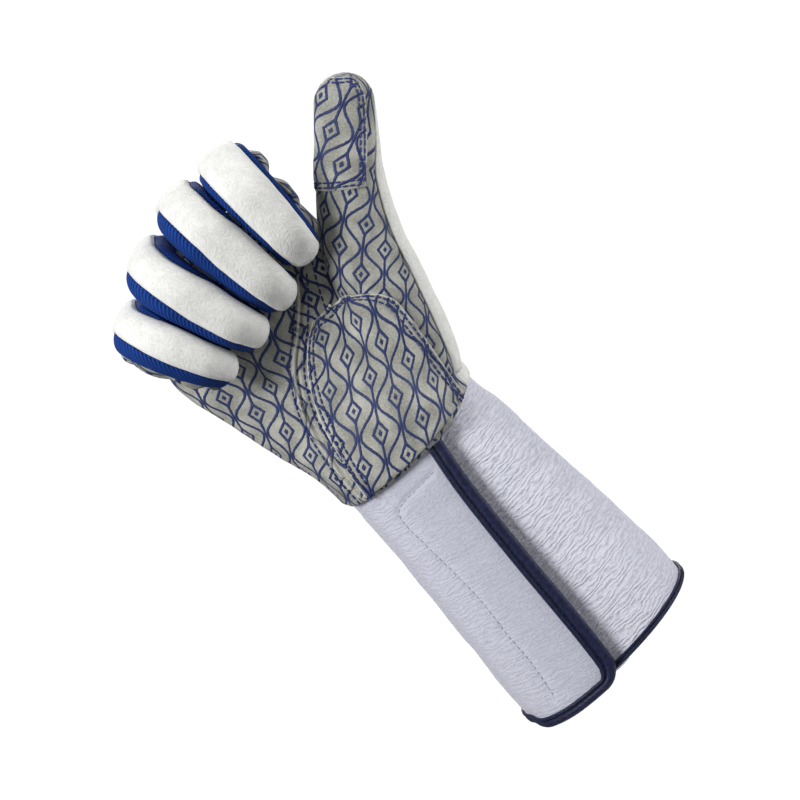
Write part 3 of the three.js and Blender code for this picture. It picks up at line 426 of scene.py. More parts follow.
def edge_distance(points, sides):
    u, v = lengths(points, 1), lengths(points, 0)
    far = np.full(u.shape, 1e3)
    for name, distance in (("left", u), ("right", u[:, -1:] - u), ("low", v), ("high", v[-1:] - v)):
        if name in sides:
            far = np.minimum(far, distance)
    return far


def sink_edges(points, sides, depth, width):
    return lifted(points, -depth * np.exp(-((edge_distance(points, sides) / width) ** 2)))


sleeve = gauntlet_face(*np.meshgrid(np.linspace(0, 360, 60), np.linspace(0, 100, 20)))
print("round the gauntlet, at the hem and 100 mm up:", np.round(lengths(sleeve, 1)[[0, -1], -1]).tolist(), "mm")

# %% [markdown]
# A maker cuts every panel flat, so each piece also notes the size that it was cut to. The grid gives it without any
# unrolling: its longest row and column are width and length, and its faces add up to the area.

# %% Flat sizes
FLAT = {}


def flat_size(points, kept):
    """Width, length and area in metres of the panel as cut: its longest row and column, and its face's area."""
    sides = (lengths(points, 1)[:, -1].max(), lengths(points, 0)[-1].max())
    corners = [points[:-1, :-1], points[:-1, 1:], points[1:, 1:], points[1:, :-1]]
    across, along = corners[2] - corners[0], corners[3] - corners[1]
    area = np.linalg.norm(np.cross(across, along), axis=-1).ravel()[kept].sum() / 2
    return sides[0] * MM, sides[1] * MM, area * MM * MM


print("the lowest 100 mm of the gauntlet, cut flat:", np.round(flat_size(sleeve, np.s_[:]), 3).tolist(), "m, m, m2")

# %% [markdown]
# A grid becomes a real layer of cloth when it gets a wall. The Solidify modifier could add it, but at poles and
# narrow corners its inner face would fold over. Here the inner face follows directions that are evened out first.

# %% Closed pieces
STRAY_COSINE, STRAY_REACH, STRAY_PASSES = 0.85, 2, 4
# Inner faces lie a little less than a wall below the outer ones, so that layers don't cut each other.
CLOTH_BEHIND, SUEDE_BEHIND = GAUNTLET_WALL - 0.3, LEATHER_WALL - 0.3
PADDING_BEHIND, KNIT_BEHIND = PADDED_WALL - 0.4, KNIT_WALL - 0.3


def wall_way(points):
    """The outward direction, without the stray turns that it takes at a pole or a narrow corner of the grid."""
    way = outward(points)
    rows, columns = way.shape[:2]
    window = range(2 * STRAY_REACH + 1)
    for _ in range(STRAY_PASSES):
        wide = np.pad(way, ((STRAY_REACH, STRAY_REACH), (STRAY_REACH, STRAY_REACH), (0, 0)), mode="edge")
        near = unit(sum(wide[i:i + rows, j:j + columns] for i in window for j in window))
        stray = (way * near).sum(-1) < STRAY_COSINE
        way[stray] = near[stray]
    return way


def numbered(points):
    return np.arange(points.shape[0] * points.shape[1]).reshape(points.shape[:2])


def quads_of(at):
    return np.stack([at[:-1, :-1], at[:-1, 1:], at[1:, 1:], at[1:, :-1]], -1).reshape(-1, 4)


def lay_flat(mesh, u, v, layers=1):
    """Write the flat map to a mesh whose points are the grid's, once for each layer."""
    both = np.tile(np.stack([u, v], -1).reshape(-1, 2), (layers, 1))
    loops = np.empty(len(mesh.loops), np.int32)
    mesh.loops.foreach_get("vertex_index", loops)
    mesh.uv_layers.new(name="flat").data.foreach_set("uv", both[loops].astype(np.float32).ravel())


def make_piece(name, points, wall, material, uv=None, keep=None, marks=None):
    """A closed shell from a grid: the outer face, the inner one a wall below it, and a rim round every edge."""
    quads = quads_of(numbered(points))
    kept = np.ones(len(quads), bool) if keep is None else keep.ravel()[quads].any(1)
    FLAT[name] = flat_size(points, kept)
    quads = quads[kept]
    inner = points - wall_way(points) * wall
    verts = np.concatenate([points.reshape(-1, 3), inner.reshape(-1, 3)]) * MM
    sides = np.concatenate([quads[:, [k, (k + 1) % 4]] for k in range(4)])
    edges = dict.fromkeys((int(a), int(b)) for a, b in sides)  # a dict, because it keeps their order
    half = len(verts) // 2
    rim = [(b, a, a + half, b + half) for a, b in edges if (b, a) not in edges]
    faces = np.concatenate([quads, quads[:, ::-1] + half, np.array(rim)])
    mesh = bpy.data.meshes.new(name)
    mesh.from_pydata(verts.tolist(), [], faces.tolist())
    u, v = flat_map(points) if uv is None else uv
    lay_flat(mesh, u, v, layers=2)
    for label, values in (marks or {}).items():
        attribute = mesh.attributes.new(label, "FLOAT", "POINT")
        attribute.data.foreach_set("value", np.tile(np.broadcast_to(values, u.shape).ravel(), 2).astype(np.float32))
    return finish_mesh(name, mesh, material)


def finish_mesh(name, mesh, material):
    work = bmesh.new()
    work.from_mesh(mesh)
    bmesh.ops.remove_doubles(work, verts=work.verts, dist=0.00002)
    bmesh.ops.dissolve_degenerate(work, edges=work.edges, dist=0.00001)
    loose = [v for v in work.verts if not v.link_faces]
    bmesh.ops.delete(work, geom=loose, context="VERTS")
    work.to_mesh(mesh)
    work.free()
    mesh.shade_smooth()
    mesh.materials.append(material)
    piece = bpy.data.objects.new(name, mesh)
    bpy.context.scene.collection.objects.link(piece)
    print(f"{name}: {len(mesh.polygons)} faces")
    return piece


print("layers in millimetres:", np.round([CLOTH_BEHIND, SUEDE_BEHIND, PADDING_BEHIND, KNIT_BEHIND], 1).tolist())

# %% [markdown]
# Panels and seams are laid out against surfaces that are there already. A BVH tree finds the nearest place on such a
# surface, or the first one that a ray meets, without making an object of it.

# %% Surfaces to measure against
def bvh(points, loop=False):
    at = numbered(points)
    if loop:
        at = np.concatenate([at, at[:, :1]], 1)
    return BVHTree.FromPolygons(points.reshape(-1, 3).tolist(), quads_of(at).tolist())


def depth_inside(tree, points):
    """How far points lie below a body's surface: positive inside, negative outside."""
    flat = points.reshape(-1, 3)
    out = np.empty(len(flat))
    for k, p in enumerate(flat):
        place, normal, _, _ = tree.find_nearest(Vector(p))
        out[k] = -(Vector(p) - place).dot(normal)
    return out.reshape(points.shape[:-1])


print("the arm's middle lies", depth_inside(bvh(sleeve), np.array([[0.0, 0.0, 50.0]])).round(1).tolist(), "mm deep")

# %% [markdown]
# Materials come next. One function turns sRGB hex into the linear colour that Blender works in, and one adds a
# node with its settings and links. The stops of a colour ramp are pairs of a place and a colour.

# %% Colour and node helpers
def linear(code):
    channels = [int(code[k:k + 2], 16) / 255 for k in (1, 3, 5)]
    return tuple(c / 12.92 if c <= 0.04045 else ((c + 0.055) / 1.055) ** 2.4 for c in channels) + (1.0,)


def add(tree, kind, inputs=None, stops=(), **settings):
    node = tree.nodes.new(kind)
    for key, value in settings.items():
        setattr(node, key, value)
    for k, (place, code) in enumerate(stops):
        node.color_ramp.elements[k].position, node.color_ramp.elements[k].color = place, linear(code)
    for key, value in (inputs or {}).items():
        if isinstance(value, bpy.types.NodeSocket):
            tree.links.new(value, node.inputs[key])
        else:
            node.inputs[key].default_value = value
    return node


def new_material(name):
    material = bpy.data.materials.new(name)
    material.use_nodes = True
    material.node_tree.nodes.clear()
    print("material:", name)
    return material, material.node_tree


def close_material(tree, shader):
    add(tree, "ShaderNodeOutputMaterial", {"Surface": shader.outputs[0]})


print("middle grey in linear light:", round(linear("#808080")[0], 3))

# %% [markdown]
# The gauntlet is a soft synthetic suede cloth, pale lavender. It is fully matt, and its nap catches light at grazing
# angles, so it gets a little sheen. Its face is crinkled in fine waves that run round the arm, about 2 mm apart,
# bent and broken by slow noise. Their height also sets the colour: painted shade in the troughs, painted light on the
# crests.
# The mark "crinkle" holds how strong they are, in relief and in painted shade, which is most on the panel beside the
# flap, where nothing stretches the cloth.

# %% Gauntlet cloth
RIPPLE_PITCH = 2.1
GAUNTLET_CLOTH, tree = new_material("brushed synthetic suede cloth, lavender white")
flat = add(tree, "ShaderNodeUVMap", uv_map="flat")
warp_map = add(tree, "ShaderNodeMapping", {"Vector": flat.outputs[0], "Scale": (0.1, 0.22, 1)})
warp = add(tree, "ShaderNodeTexNoise", {"Vector": warp_map.outputs[0], "Scale": 1.0, "Detail": 2.0},
           noise_dimensions="2D")
axes = add(tree, "ShaderNodeSeparateXYZ", {0: flat.outputs[0]})
turns = add(tree, "ShaderNodeMath", {0: axes.outputs[1], 1: 2 * math.pi / RIPPLE_PITCH}, operation="MULTIPLY")
bent = add(tree, "ShaderNodeMath", {0: warp.outputs["Fac"], 1: 16.0, 2: turns.outputs[0]}, operation="MULTIPLY_ADD")
ripple = add(tree, "ShaderNodeMath", {0: bent.outputs[0]}, operation="SINE")
patchy_map = add(tree, "ShaderNodeMapping", {"Vector": flat.outputs[0], "Scale": (0.28, 0.5, 1)})
patchy = add(tree, "ShaderNodeTexNoise", {"Vector": patchy_map.outputs[0], "Scale": 1.0, "Detail": 3.0},
             noise_dimensions="2D")
waves = add(tree, "ShaderNodeMath", {0: ripple.outputs[0], 1: 0.22, 2: patchy.outputs["Fac"]},
            operation="MULTIPLY_ADD")
fine_map = add(tree, "ShaderNodeMapping", {"Vector": flat.outputs[0], "Scale": (0.7, 0.95, 1)})
fine = add(tree, "ShaderNodeTexNoise", {"Vector": fine_map.outputs[0], "Scale": 1.0, "Detail": 3.0,
                                        "Roughness": 0.6}, noise_dimensions="2D")
crinkle = add(tree, "ShaderNodeAttribute", attribute_name="crinkle")
strong = add(tree, "ShaderNodeMath", {0: waves.outputs[0], 1: crinkle.outputs["Fac"]}, operation="MULTIPLY")
height = add(tree, "ShaderNodeMath", {0: fine.outputs["Fac"], 1: 0.55, 2: strong.outputs[0]},
             operation="MULTIPLY_ADD")
bump = add(tree, "ShaderNodeBump", {"Height": height.outputs[0], "Distance": 0.00046, "Strength": 1.0})
# The colour follows the same height: painted shade in the troughs of the waves and painted light on their crests, with
# the fine noise as random tone.
shade = add(tree, "ShaderNodeValToRGB", {"Fac": height.outputs[0]}, stops=((0.25, "#b9bac9"), (0.95, "#d9dae6")))
cloth = add(tree, "ShaderNodeBsdfPrincipled", {"Base Color": shade.outputs["Color"], "Roughness": 0.92,
                                               "Sheen Weight": 0.25, "Sheen Roughness": 0.5, "IOR": 1.45,
                                               "Specular IOR Level": 0.25, "Normal": bump.outputs[0]})
close_material(tree, cloth)

# %% [markdown]
# The padded backs are soft white synthetic leather, pressed from a fibre mat. It has no shine, and a pebble of less
# than a millimetre that shows in the half shade. The pebble is drawn 1.1 mm wide, a little coarse, so that it shows.

# %% White leather
WHITE_LEATHER, tree = new_material("soft matt synthetic leather, white")
flat = add(tree, "ShaderNodeUVMap", uv_map="flat")
pebble = add(tree, "ShaderNodeTexNoise", {"Vector": flat.outputs[0], "Scale": 0.9, "Detail": 2.0,
                                          "Roughness": 0.5}, noise_dimensions="2D")
cloudy = add(tree, "ShaderNodeTexNoise", {"Vector": flat.outputs[0], "Scale": 0.22, "Detail": 3.0,
                                          "Roughness": 0.5}, noise_dimensions="2D")
bump = add(tree, "ShaderNodeBump", {"Height": pebble.outputs["Fac"], "Distance": 0.0003, "Strength": 1.0})
tone = add(tree, "ShaderNodeMath", {0: pebble.outputs["Fac"], 1: cloudy.outputs["Fac"]}, operation="ADD")
half_tone = add(tree, "ShaderNodeMath", {0: tone.outputs[0], 1: 0.5}, operation="MULTIPLY")
shade = add(tree, "ShaderNodeValToRGB", {"Fac": half_tone.outputs[0]}, stops=((0.35, "#d8d8d4"), (0.65, "#e9e9e6")))
leather = add(tree, "ShaderNodeBsdfPrincipled", {"Base Color": shade.outputs["Color"], "Roughness": 0.8,
                                                 "Sheen Weight": 0.1, "Specular IOR Level": 0.3,
                                                 "Normal": bump.outputs[0]})
close_material(tree, leather)

# %% [markdown]
# The palm is warm grey suede with a raised grip print in navy. The print is a plain design of this file's own: wavy
# lines that part and close round small lozenges, which hang on straight lines. It is worked out as a distance to
# the nearest line, in millimetres on the flat map, so one value gives both its colour and its rounded relief.

# %% Printed suede: distance to the print
WAVE_PITCH, WAVE_LENGTH, WAVE_SWING, PRINT_LINE = 10.4, 23.5, 4.0, 1.2
LOZENGE_HALF_WIDTH, LOZENGE_HALF_LENGTH, LOZENGE_CORE = 3.4, 4.8, 1.9
PRINTED_SUEDE, tree = new_material("suede with raised rubber print, warm grey and navy")
flat = add(tree, "ShaderNodeUVMap", uv_map="flat")
ragged = add(tree, "ShaderNodeTexNoise", {"Vector": flat.outputs[0], "Scale": 0.8, "Detail": 2.0},
             noise_dimensions="2D")
shifted = add(tree, "ShaderNodeVectorMath", {0: ragged.outputs["Color"], 1: (0.5, 0.5, 0)}, operation="SUBTRACT")
moved = add(tree, "ShaderNodeVectorMath", {0: shifted.outputs[0], 1: (0.5, 0.5, 0), 2: flat.outputs[0]},
            operation="MULTIPLY_ADD")
turned = add(tree, "ShaderNodeMapping", {"Vector": moved.outputs[0], "Rotation": (0, 0, math.radians(24))})
axes = add(tree, "ShaderNodeSeparateXYZ", {0: turned.outputs[0]})
slant = math.hypot(1 / LOZENGE_HALF_WIDTH, 1 / LOZENGE_HALF_LENGTH)
# Each row is a Math node: its name, what it does, and its inputs, which are numbers or the names of rows above it.
STEPS = (
    ("across", "FLOORED_MODULO", "x", 2 * WAVE_PITCH), ("phase", "MULTIPLY", "y", 2 * math.pi / WAVE_LENGTH),
    ("sine", "SINE", "phase"), ("swing", "MULTIPLY", "sine", WAVE_SWING),
    ("cosine", "COSINE", "phase"), ("steepness", "MULTIPLY", "cosine", WAVE_SWING * 2 * math.pi / WAVE_LENGTH),
    ("tilt", "MULTIPLY_ADD", "steepness", "steepness", 1.0), ("stretch", "INVERSE_SQRT", "tilt"),
    ("past", "SUBTRACT", "across", "swing"), ("first", "ABSOLUTE", "past"),
    ("both", "ADD", "across", "swing"), ("halfway", "SUBTRACT", "both", WAVE_PITCH), ("second", "ABSOLUTE", "halfway"),
    ("round", "SUBTRACT", "past", 2 * WAVE_PITCH), ("third", "ABSOLUTE", "round"),
    ("nearer", "MINIMUM", "first", "second"), ("nearest", "MINIMUM", "nearer", "third"),
    ("wave", "MULTIPLY", "nearest", "stretch"),
    ("column", "FLOORED_MODULO", "across", WAVE_PITCH), ("centred", "SUBTRACT", "column", WAVE_PITCH / 2),
    ("aside", "ABSOLUTE", "centred"),
    ("columns", "DIVIDE", "across", WAVE_PITCH), ("cell", "FLOOR", "columns"),
    ("shifted", "MULTIPLY_ADD", "cell", WAVE_LENGTH / 2, "y"), ("up", "FLOORED_MODULO", "shifted", WAVE_LENGTH),
    ("from_middle", "SUBTRACT", "up", 0.75 * WAVE_LENGTH), ("off", "ABSOLUTE", "from_middle"),
    ("reach", "MULTIPLY_ADD", "aside", 1 / LOZENGE_HALF_WIDTH / slant, -1 / slant),
    ("lozenge", "MULTIPLY_ADD", "off", 1 / LOZENGE_HALF_LENGTH / slant, "reach"),
    ("outside", "MULTIPLY", "lozenge", -1.0), ("spine", "MAXIMUM", "aside", "outside"),
    ("core", "ADD", "lozenge", LOZENGE_CORE),
    ("joined", "SMOOTH_MIN", "wave", "spine", 0.5), ("outline", "ABSOLUTE", "lozenge"),
    ("lines", "SMOOTH_MIN", "joined", "outline", 0.5), ("drawn", "SUBTRACT", "lines", PRINT_LINE / 2),
    ("far", "MINIMUM", "drawn", "core"),
)
at = {"x": axes.outputs[0], "y": axes.outputs[1]}
for step, what, *given in STEPS:
    at[step] = add(tree, "ShaderNodeMath", {k: at.get(value, value) for k, value in enumerate(given)},
                   operation=what).outputs[0]
print(len(STEPS), "steps give the distance to the print")

# %% [markdown]
# Suede is split leather with a short nap. It is matt, and slightly lighter where it is worn, and at its unprinted cut
# edges.
# The lighter band on the patches' cut edges is also a painted highlight along their rims, and the lighter band along
# the palm's welt is a painted highlight on its ridge. The rubber print stands about half a millimetre high with a soft
# shoulder, and has a dull gloss that the nap breaks up.

# %% Printed suede: colour and relief
inked = add(tree, "ShaderNodeMapRange", {"Value": at["far"], "From Min": 0.12, "From Max": -0.12})
raised_print = add(tree, "ShaderNodeMapRange", {"Value": at["far"], "From Min": 0.15, "From Max": -0.4},
                   interpolation_type="SMOOTHSTEP")
nap = add(tree, "ShaderNodeTexNoise", {"Vector": flat.outputs[0], "Scale": 1.1, "Detail": 5.0, "Roughness": 0.75},
          noise_dimensions="2D")
slow = add(tree, "ShaderNodeTexNoise", {"Vector": flat.outputs[0], "Scale": 0.09, "Detail": 3.0},
           noise_dimensions="2D")
half_nap = add(tree, "ShaderNodeMath", {0: nap.outputs["Fac"], 1: 0.5}, operation="MULTIPLY")
worn = add(tree, "ShaderNodeMath", {0: slow.outputs["Fac"], 1: 0.5, 2: half_nap.outputs[0]},
           operation="MULTIPLY_ADD")
suede = add(tree, "ShaderNodeValToRGB", {"Fac": worn.outputs[0]}, stops=((0.38, "#86877f"), (0.62, "#b8b8b0")))
ink = add(tree, "ShaderNodeValToRGB", {"Fac": nap.outputs["Fac"]}, stops=((0.3, "#1b2858"), (0.75, "#30427c")))
# This mark lightens the suede and keeps the print off it: on the patches it is their cut edge and a painted highlight
# along the rim, on the palm a painted highlight along the welt's ridge.
raw_edge_and_painted_highlight = add(tree, "ShaderNodeAttribute", attribute_name="raw_edge_and_painted_highlight")
lightened_edge_colour = add(tree, "ShaderNodeMix", {"Factor": raw_edge_and_painted_highlight.outputs["Fac"], 6: suede.outputs["Color"],
                                  7: linear("#cfcfc8")}, data_type="RGBA")
not_lightened_edge = add(tree, "ShaderNodeMath", {0: 1.0, 1: raw_edge_and_painted_highlight.outputs["Fac"]}, operation="SUBTRACT")
covered = add(tree, "ShaderNodeMath", {0: inked.outputs[0], 1: not_lightened_edge.outputs[0]}, operation="MULTIPLY")
colour = add(tree, "ShaderNodeMix", {"Factor": covered.outputs[0], 6: lightened_edge_colour.outputs[2], 7: ink.outputs["Color"]},
             data_type="RGBA")
gloss = add(tree, "ShaderNodeMapRange", {"Value": inked.outputs[0], "To Min": 0.92, "To Max": 0.4})
relief = add(tree, "ShaderNodeMath", {0: nap.outputs["Fac"], 1: 0.45, 2: raised_print.outputs[0]},
             operation="MULTIPLY_ADD")
bump = add(tree, "ShaderNodeBump", {"Height": relief.outputs[0], "Distance": 0.00065, "Strength": 1.0})
printed = add(tree, "ShaderNodeBsdfPrincipled", {"Base Color": colour.outputs[2], "Roughness": gloss.outputs[0],
                                                 "Specular IOR Level": 0.4, "Normal": bump.outputs[0]})
close_material(tree, printed)

# %% [markdown]
# The strips between the finger panels are a bird's-eye knit in royal blue: small loops in a diamond order, about
# 1.5 mm apart, with darker gaps. Two crossed sine waves on the flat map give loops and gaps alike.

# %% Blue knit
KNIT_PITCH = 1.55
BLUE_KNIT, tree = new_material("bird's-eye polyester knit, royal blue")
flat = add(tree, "ShaderNodeUVMap", uv_map="flat")
loops = add(tree, "ShaderNodeMapping", {"Vector": flat.outputs[0], "Rotation": (0, 0, math.radians(45)),
                                        "Scale": (2 * math.pi / KNIT_PITCH,) * 2 + (1,)})
axes = add(tree, "ShaderNodeSeparateXYZ", {0: loops.outputs[0]})
one = add(tree, "ShaderNodeMath", {0: axes.outputs[0]}, operation="SINE")
two = add(tree, "ShaderNodeMath", {0: axes.outputs[1]}, operation="SINE")
knit = add(tree, "ShaderNodeMath", {0: one.outputs[0], 1: two.outputs[0]}, operation="ADD")
loop_height = add(tree, "ShaderNodeMapRange", {"Value": knit.outputs[0], "From Min": -1.6, "From Max": 1.2})
uneven = add(tree, "ShaderNodeTexNoise", {"Vector": flat.outputs[0], "Scale": 0.35, "Detail": 3.0},
             noise_dimensions="2D")
tone = add(tree, "ShaderNodeMath", {0: uneven.outputs["Fac"], 1: 0.5, 2: loop_height.outputs[0]},
           operation="MULTIPLY_ADD")
shade = add(tree, "ShaderNodeValToRGB", {"Fac": tone.outputs[0]}, stops=((0.35, "#020b2e"), (1.0, "#1949a4")))
bump = add(tree, "ShaderNodeBump", {"Height": loop_height.outputs[0], "Distance": 0.0006, "Strength": 1.0})
knitted = add(tree, "ShaderNodeBsdfPrincipled", {"Base Color": shade.outputs["Color"], "Roughness": 0.85,
                                                 "Specular IOR Level": 0.2, "Normal": bump.outputs[0]})
close_material(tree, knitted)

# %% [markdown]
# The edge tape is a coated navy binding, folded over the cloth. It has a faint satin gloss and fine cross ribs.
# Threads are spun polyester: navy on the suede, white on the gauntlet, and nearly black on the tape.

# %% Tape and threads
RIB_PITCH = 0.8
EDGE_TAPE, tree = new_material("coated polyester binding tape, navy")
flat = add(tree, "ShaderNodeUVMap", uv_map="flat")
axes = add(tree, "ShaderNodeSeparateXYZ", {0: flat.outputs[0]})
ribs = add(tree, "ShaderNodeMath", {0: axes.outputs[0], 1: 2 * math.pi / RIB_PITCH}, operation="MULTIPLY")
rib = add(tree, "ShaderNodeMath", {0: ribs.outputs[0]}, operation="SINE")
scuff = add(tree, "ShaderNodeTexNoise", {"Vector": flat.outputs[0], "Scale": 0.5, "Detail": 5.0},
            noise_dimensions="2D")
height = add(tree, "ShaderNodeMath", {0: rib.outputs[0], 1: 0.05, 2: scuff.outputs["Fac"]},
             operation="MULTIPLY_ADD")
shade = add(tree, "ShaderNodeValToRGB", {"Fac": scuff.outputs["Fac"]}, stops=((0.3, "#0a0f28"), (0.75, "#19214a")))
bump = add(tree, "ShaderNodeBump", {"Height": height.outputs[0], "Distance": 0.0003, "Strength": 0.8})
tape = add(tree, "ShaderNodeBsdfPrincipled", {"Base Color": shade.outputs["Color"], "Roughness": 0.5,
                                              "Specular IOR Level": 0.35, "Normal": bump.outputs[0]})
close_material(tree, tape)

THREADS = {}
for thread_name, low, high in (("navy", "#1d2754", "#33407c"), ("white", "#9798ab", "#b4b5c6"),
                               ("black", "#0b0f20", "#161c38")):
    thread, tree = new_material(f"spun polyester thread, {thread_name}")
    place = add(tree, "ShaderNodeTexCoord")
    twist = add(tree, "ShaderNodeTexNoise", {"Vector": place.outputs["Object"], "Scale": 1800.0, "Detail": 2.0})
    shade = add(tree, "ShaderNodeValToRGB", {"Fac": twist.outputs["Fac"]}, stops=((0, low), (1, high)))
    bump = add(tree, "ShaderNodeBump", {"Height": twist.outputs["Fac"], "Distance": 0.0001})
    spun = add(tree, "ShaderNodeBsdfPrincipled", {"Base Color": shade.outputs["Color"], "Roughness": 0.7,
                                                  "Normal": bump.outputs[0]})
    close_material(tree, spun)
    THREADS[thread_name] = thread

# %% [markdown]
# The camera comes before the pieces, because the seams that the photo shows are laid out from it: a seam is
# a few points as seen, each dropped on to the surface behind it. The camera stands in front of the palm, ten
# degrees above level, and is rolled by 45 degrees, so the glove lies across the picture.

# %% Camera
AIM, DISTANCE, ELEVATION = np.array([12.0, 0.0, 148.25]), 1050.0, math.radians(10)
VIEW_RIGHT = np.array([1.0, 0.0, 0.0])
VIEW_UP = np.array([0.0, math.sin(ELEVATION), math.cos(ELEVATION)])
VIEW_BACK = np.array([0.0, -math.cos(ELEVATION), math.sin(ELEVATION)])
EYE = AIM + VIEW_BACK * DISTANCE
MIDDLE_OF_VIEW = 146  # how far up seam points are counted at the point that the camera looks at
camera = bpy.data.objects.new("camera", bpy.data.cameras.new("camera"))
bpy.context.scene.collection.objects.link(camera)
turned_right, turned_up = (VIEW_RIGHT - VIEW_UP) / math.sqrt(2), (VIEW_RIGHT + VIEW_UP) / math.sqrt(2)
pose = np.eye(4)
pose[:3, 0], pose[:3, 1], pose[:3, 2], pose[:3, 3] = turned_right, turned_up, VIEW_BACK, EYE * MM
camera.matrix_world = Matrix(pose.tolist())
camera.data.sensor_width, camera.data.lens = 36, 105
camera.data.clip_start, camera.data.clip_end = 0.05, 20
bpy.context.scene.camera = camera


def seen(trees, x, v):
    """The nearest surface behind a point of the view, given in millimetres across and up from the glove's origin."""
    ray = unit(AIM + VIEW_RIGHT * (x - AIM[0]) + VIEW_UP * (v - MIDDLE_OF_VIEW) - EYE)
    best = None
    for tree in trees:
        place, normal, _, far = tree.ray_cast(Vector(EYE), Vector(ray))
        if place is not None and (best is None or far < best[2]):
            best = (np.array(place), np.array(normal), far)
    return best


def seam_on(trees, points, step=0.7):
    """A line of surface points with their directions out, from a few points of the view."""
    points = np.array(points, float)
    run = np.concatenate([[0], np.cumsum(np.linalg.norm(np.diff(points, axis=0), axis=1))])
    table = {"at": run, "x": points[:, 0], "v": points[:, 1]}
    along = np.arange(0, run[-1], step)
    found = [seen(trees, float(read(table, "x", s)), float(read(table, "v", s))) for s in along]
    found = [f for f in found if f is not None]
    return np.array([f[0] for f in found]), np.array([f[1] for f in found])


print("camera at", np.round(EYE).tolist(), "mm")

# %% [markdown]
# Gauntlet. The grid is the frame's own, three times finer and more. Slow swells, the creases, the puckers along
# the stitched rectangle and a slight roll of the hem are added to its outer face.

# %% Gauntlet sheet
EDGE_ZONE, GAUNTLET_COLUMNS, GAUNTLET_LEVELS, SLIT_DIP = 48, 300, 150, 2.6
CORNER_SHARE = 0.1  # the share of the grid's rows that follow the rounded corner


def column_angle(column, height):
    plain = mix(-UNDERLAP_ANGLE, 360, column)
    return plain + (flap_angle(slit_x(height), height) - 360) * smooth(plain, 360 - EDGE_ZONE, 360)


columns, levels = np.meshgrid(np.linspace(0, 1, GAUNTLET_COLUMNS), np.linspace(0, 1, GAUNTLET_LEVELS))
heights = np.where(levels < CORNER_SHARE, SLIT_CORNER_RADIUS * (levels / CORNER_SHARE) ** 1.6,
                   mix(SLIT_CORNER_RADIUS, GAUNTLET_LENGTH + TUCK_LENGTH,
                       (levels - CORNER_SHARE) / (1 - CORNER_SHARE)))
angles = column_angle(columns, np.minimum(heights, GAUNTLET_LENGTH))
seam_rise = (wrist_seam(angles) - GAUNTLET_LENGTH) * smooth(heights, 105, 138)
gauntlet = gauntlet_face(angles, heights + seam_rise)
u, v = flat_map(gauntlet)
bare = smooth(angles, -20, 12) * (1 - smooth(angles, 330, 352) * 0.55)
swell = 0.5 * layered(u / 34, v / 17, 2) + bare * 0.16 * layered(u / 13 + 5, v / 4.5, 2)
slit_edge = flap_angle(slit_x(np.clip(heights, 0, GAUNTLET_LENGTH)), np.clip(heights, 0, GAUNTLET_LENGTH)) - 360
beside = (angles - slit_edge) * math.pi / 180 * CUFF_WIDTH / 2
dip = SLIT_DIP * (1 - smooth(beside, 0, 17)) * smooth(heights, -30, 25)
FASTENER_SEAM = [(-1, 112.5), (-12, 112.5), (-20, 112.3), (-24.5, 110.5), (-26, 105), (-26, 90), (-26, 60),
                 (-27.5, 45), (-28.5, 38), (-30, 20), (-33, 4)]
fastener_seam = seam_on([bvh(gauntlet)], FASTENER_SEAM)
near = np.full(angles.shape, 99.0)
for p in fastener_seam[0]:
    near = np.minimum(near, np.linalg.norm(gauntlet - p, axis=-1))
pulled = 0.8 * np.exp(-((near / 1.1) ** 2)) * smooth(angles, 250, 270)
gauntlet = lifted(gauntlet, swell - pulled - dip)
crinkle_mark = 0.45 + 0.75 * smooth(angles, -10, 5) * (1 - smooth(angles, 20, 100)) - 0.2 * smooth(angles, 325, 335)
GAUNTLET = make_piece("gauntlet_cloth", gauntlet, CLOTH_BEHIND, GAUNTLET_CLOTH, uv=(u, v),
                      marks={"crinkle": crinkle_mark})

# %% [markdown]
# Edge tape. A strip is folded over the raw edge of slit, corner and hem, and stitched through near its inner edge.
# The section is drawn once, with the stitch groove in it, and runs along the edge.

# %% Edge tape channel
SLIT_TAPE_WIDTH, FLAP_TAPE_WIDTH, HEM_TAPE_WIDTH, TAPE_INNER_WIDTH = 7, 5, 3, 3
GROOVE_SHARE = 0.66
LOW = -GAUNTLET_WALL - GAP


def tape_stations():
    down = np.linspace(GAUNTLET_LENGTH - 1.4, SLIT_CORNER_RADIUS, 150)
    rows = [(float(flap_angle(slit_x(h), h)), float(h), 0.0) for h in down]
    for turn in np.linspace(0, 90, 22)[1:]:
        h = SLIT_CORNER_RADIUS * (1 - math.sin(math.radians(turn)))
        rows.append((float(flap_angle(slit_x(h), h)), h, float(turn)))
    rows += [(float(column_angle(c, 0.0)), 0.0, 90.0) for c in np.linspace(1, 0, 260)[2:]]
    return np.array(rows)


def tape_point(station, inwards, out):
    angle, height, turn = station
    level = height + inwards * math.sin(math.radians(turn))
    if turn < 90:
        angle = flap_angle(slit_x(height) - inwards * math.cos(math.radians(turn)), level)
    p = gauntlet_face(angle, level)
    across = gauntlet_face(angle + 0.5, level) - gauntlet_face(angle - 0.5, level)
    along = gauntlet_face(angle, level + 0.5) - gauntlet_face(angle, level - 0.5)
    return p + unit(np.cross(across, along)) * out


def tape_width(angle, turn):
    if turn < 90:
        return mix(SLIT_TAPE_WIDTH, FLAP_TAPE_WIDTH, float(smooth(turn, 0, 90)))
    return HEM_TAPE_WIDTH if angle < 180 else mix(HEM_TAPE_WIDTH, FLAP_TAPE_WIDTH, float(smooth(angle, 230, 300)))


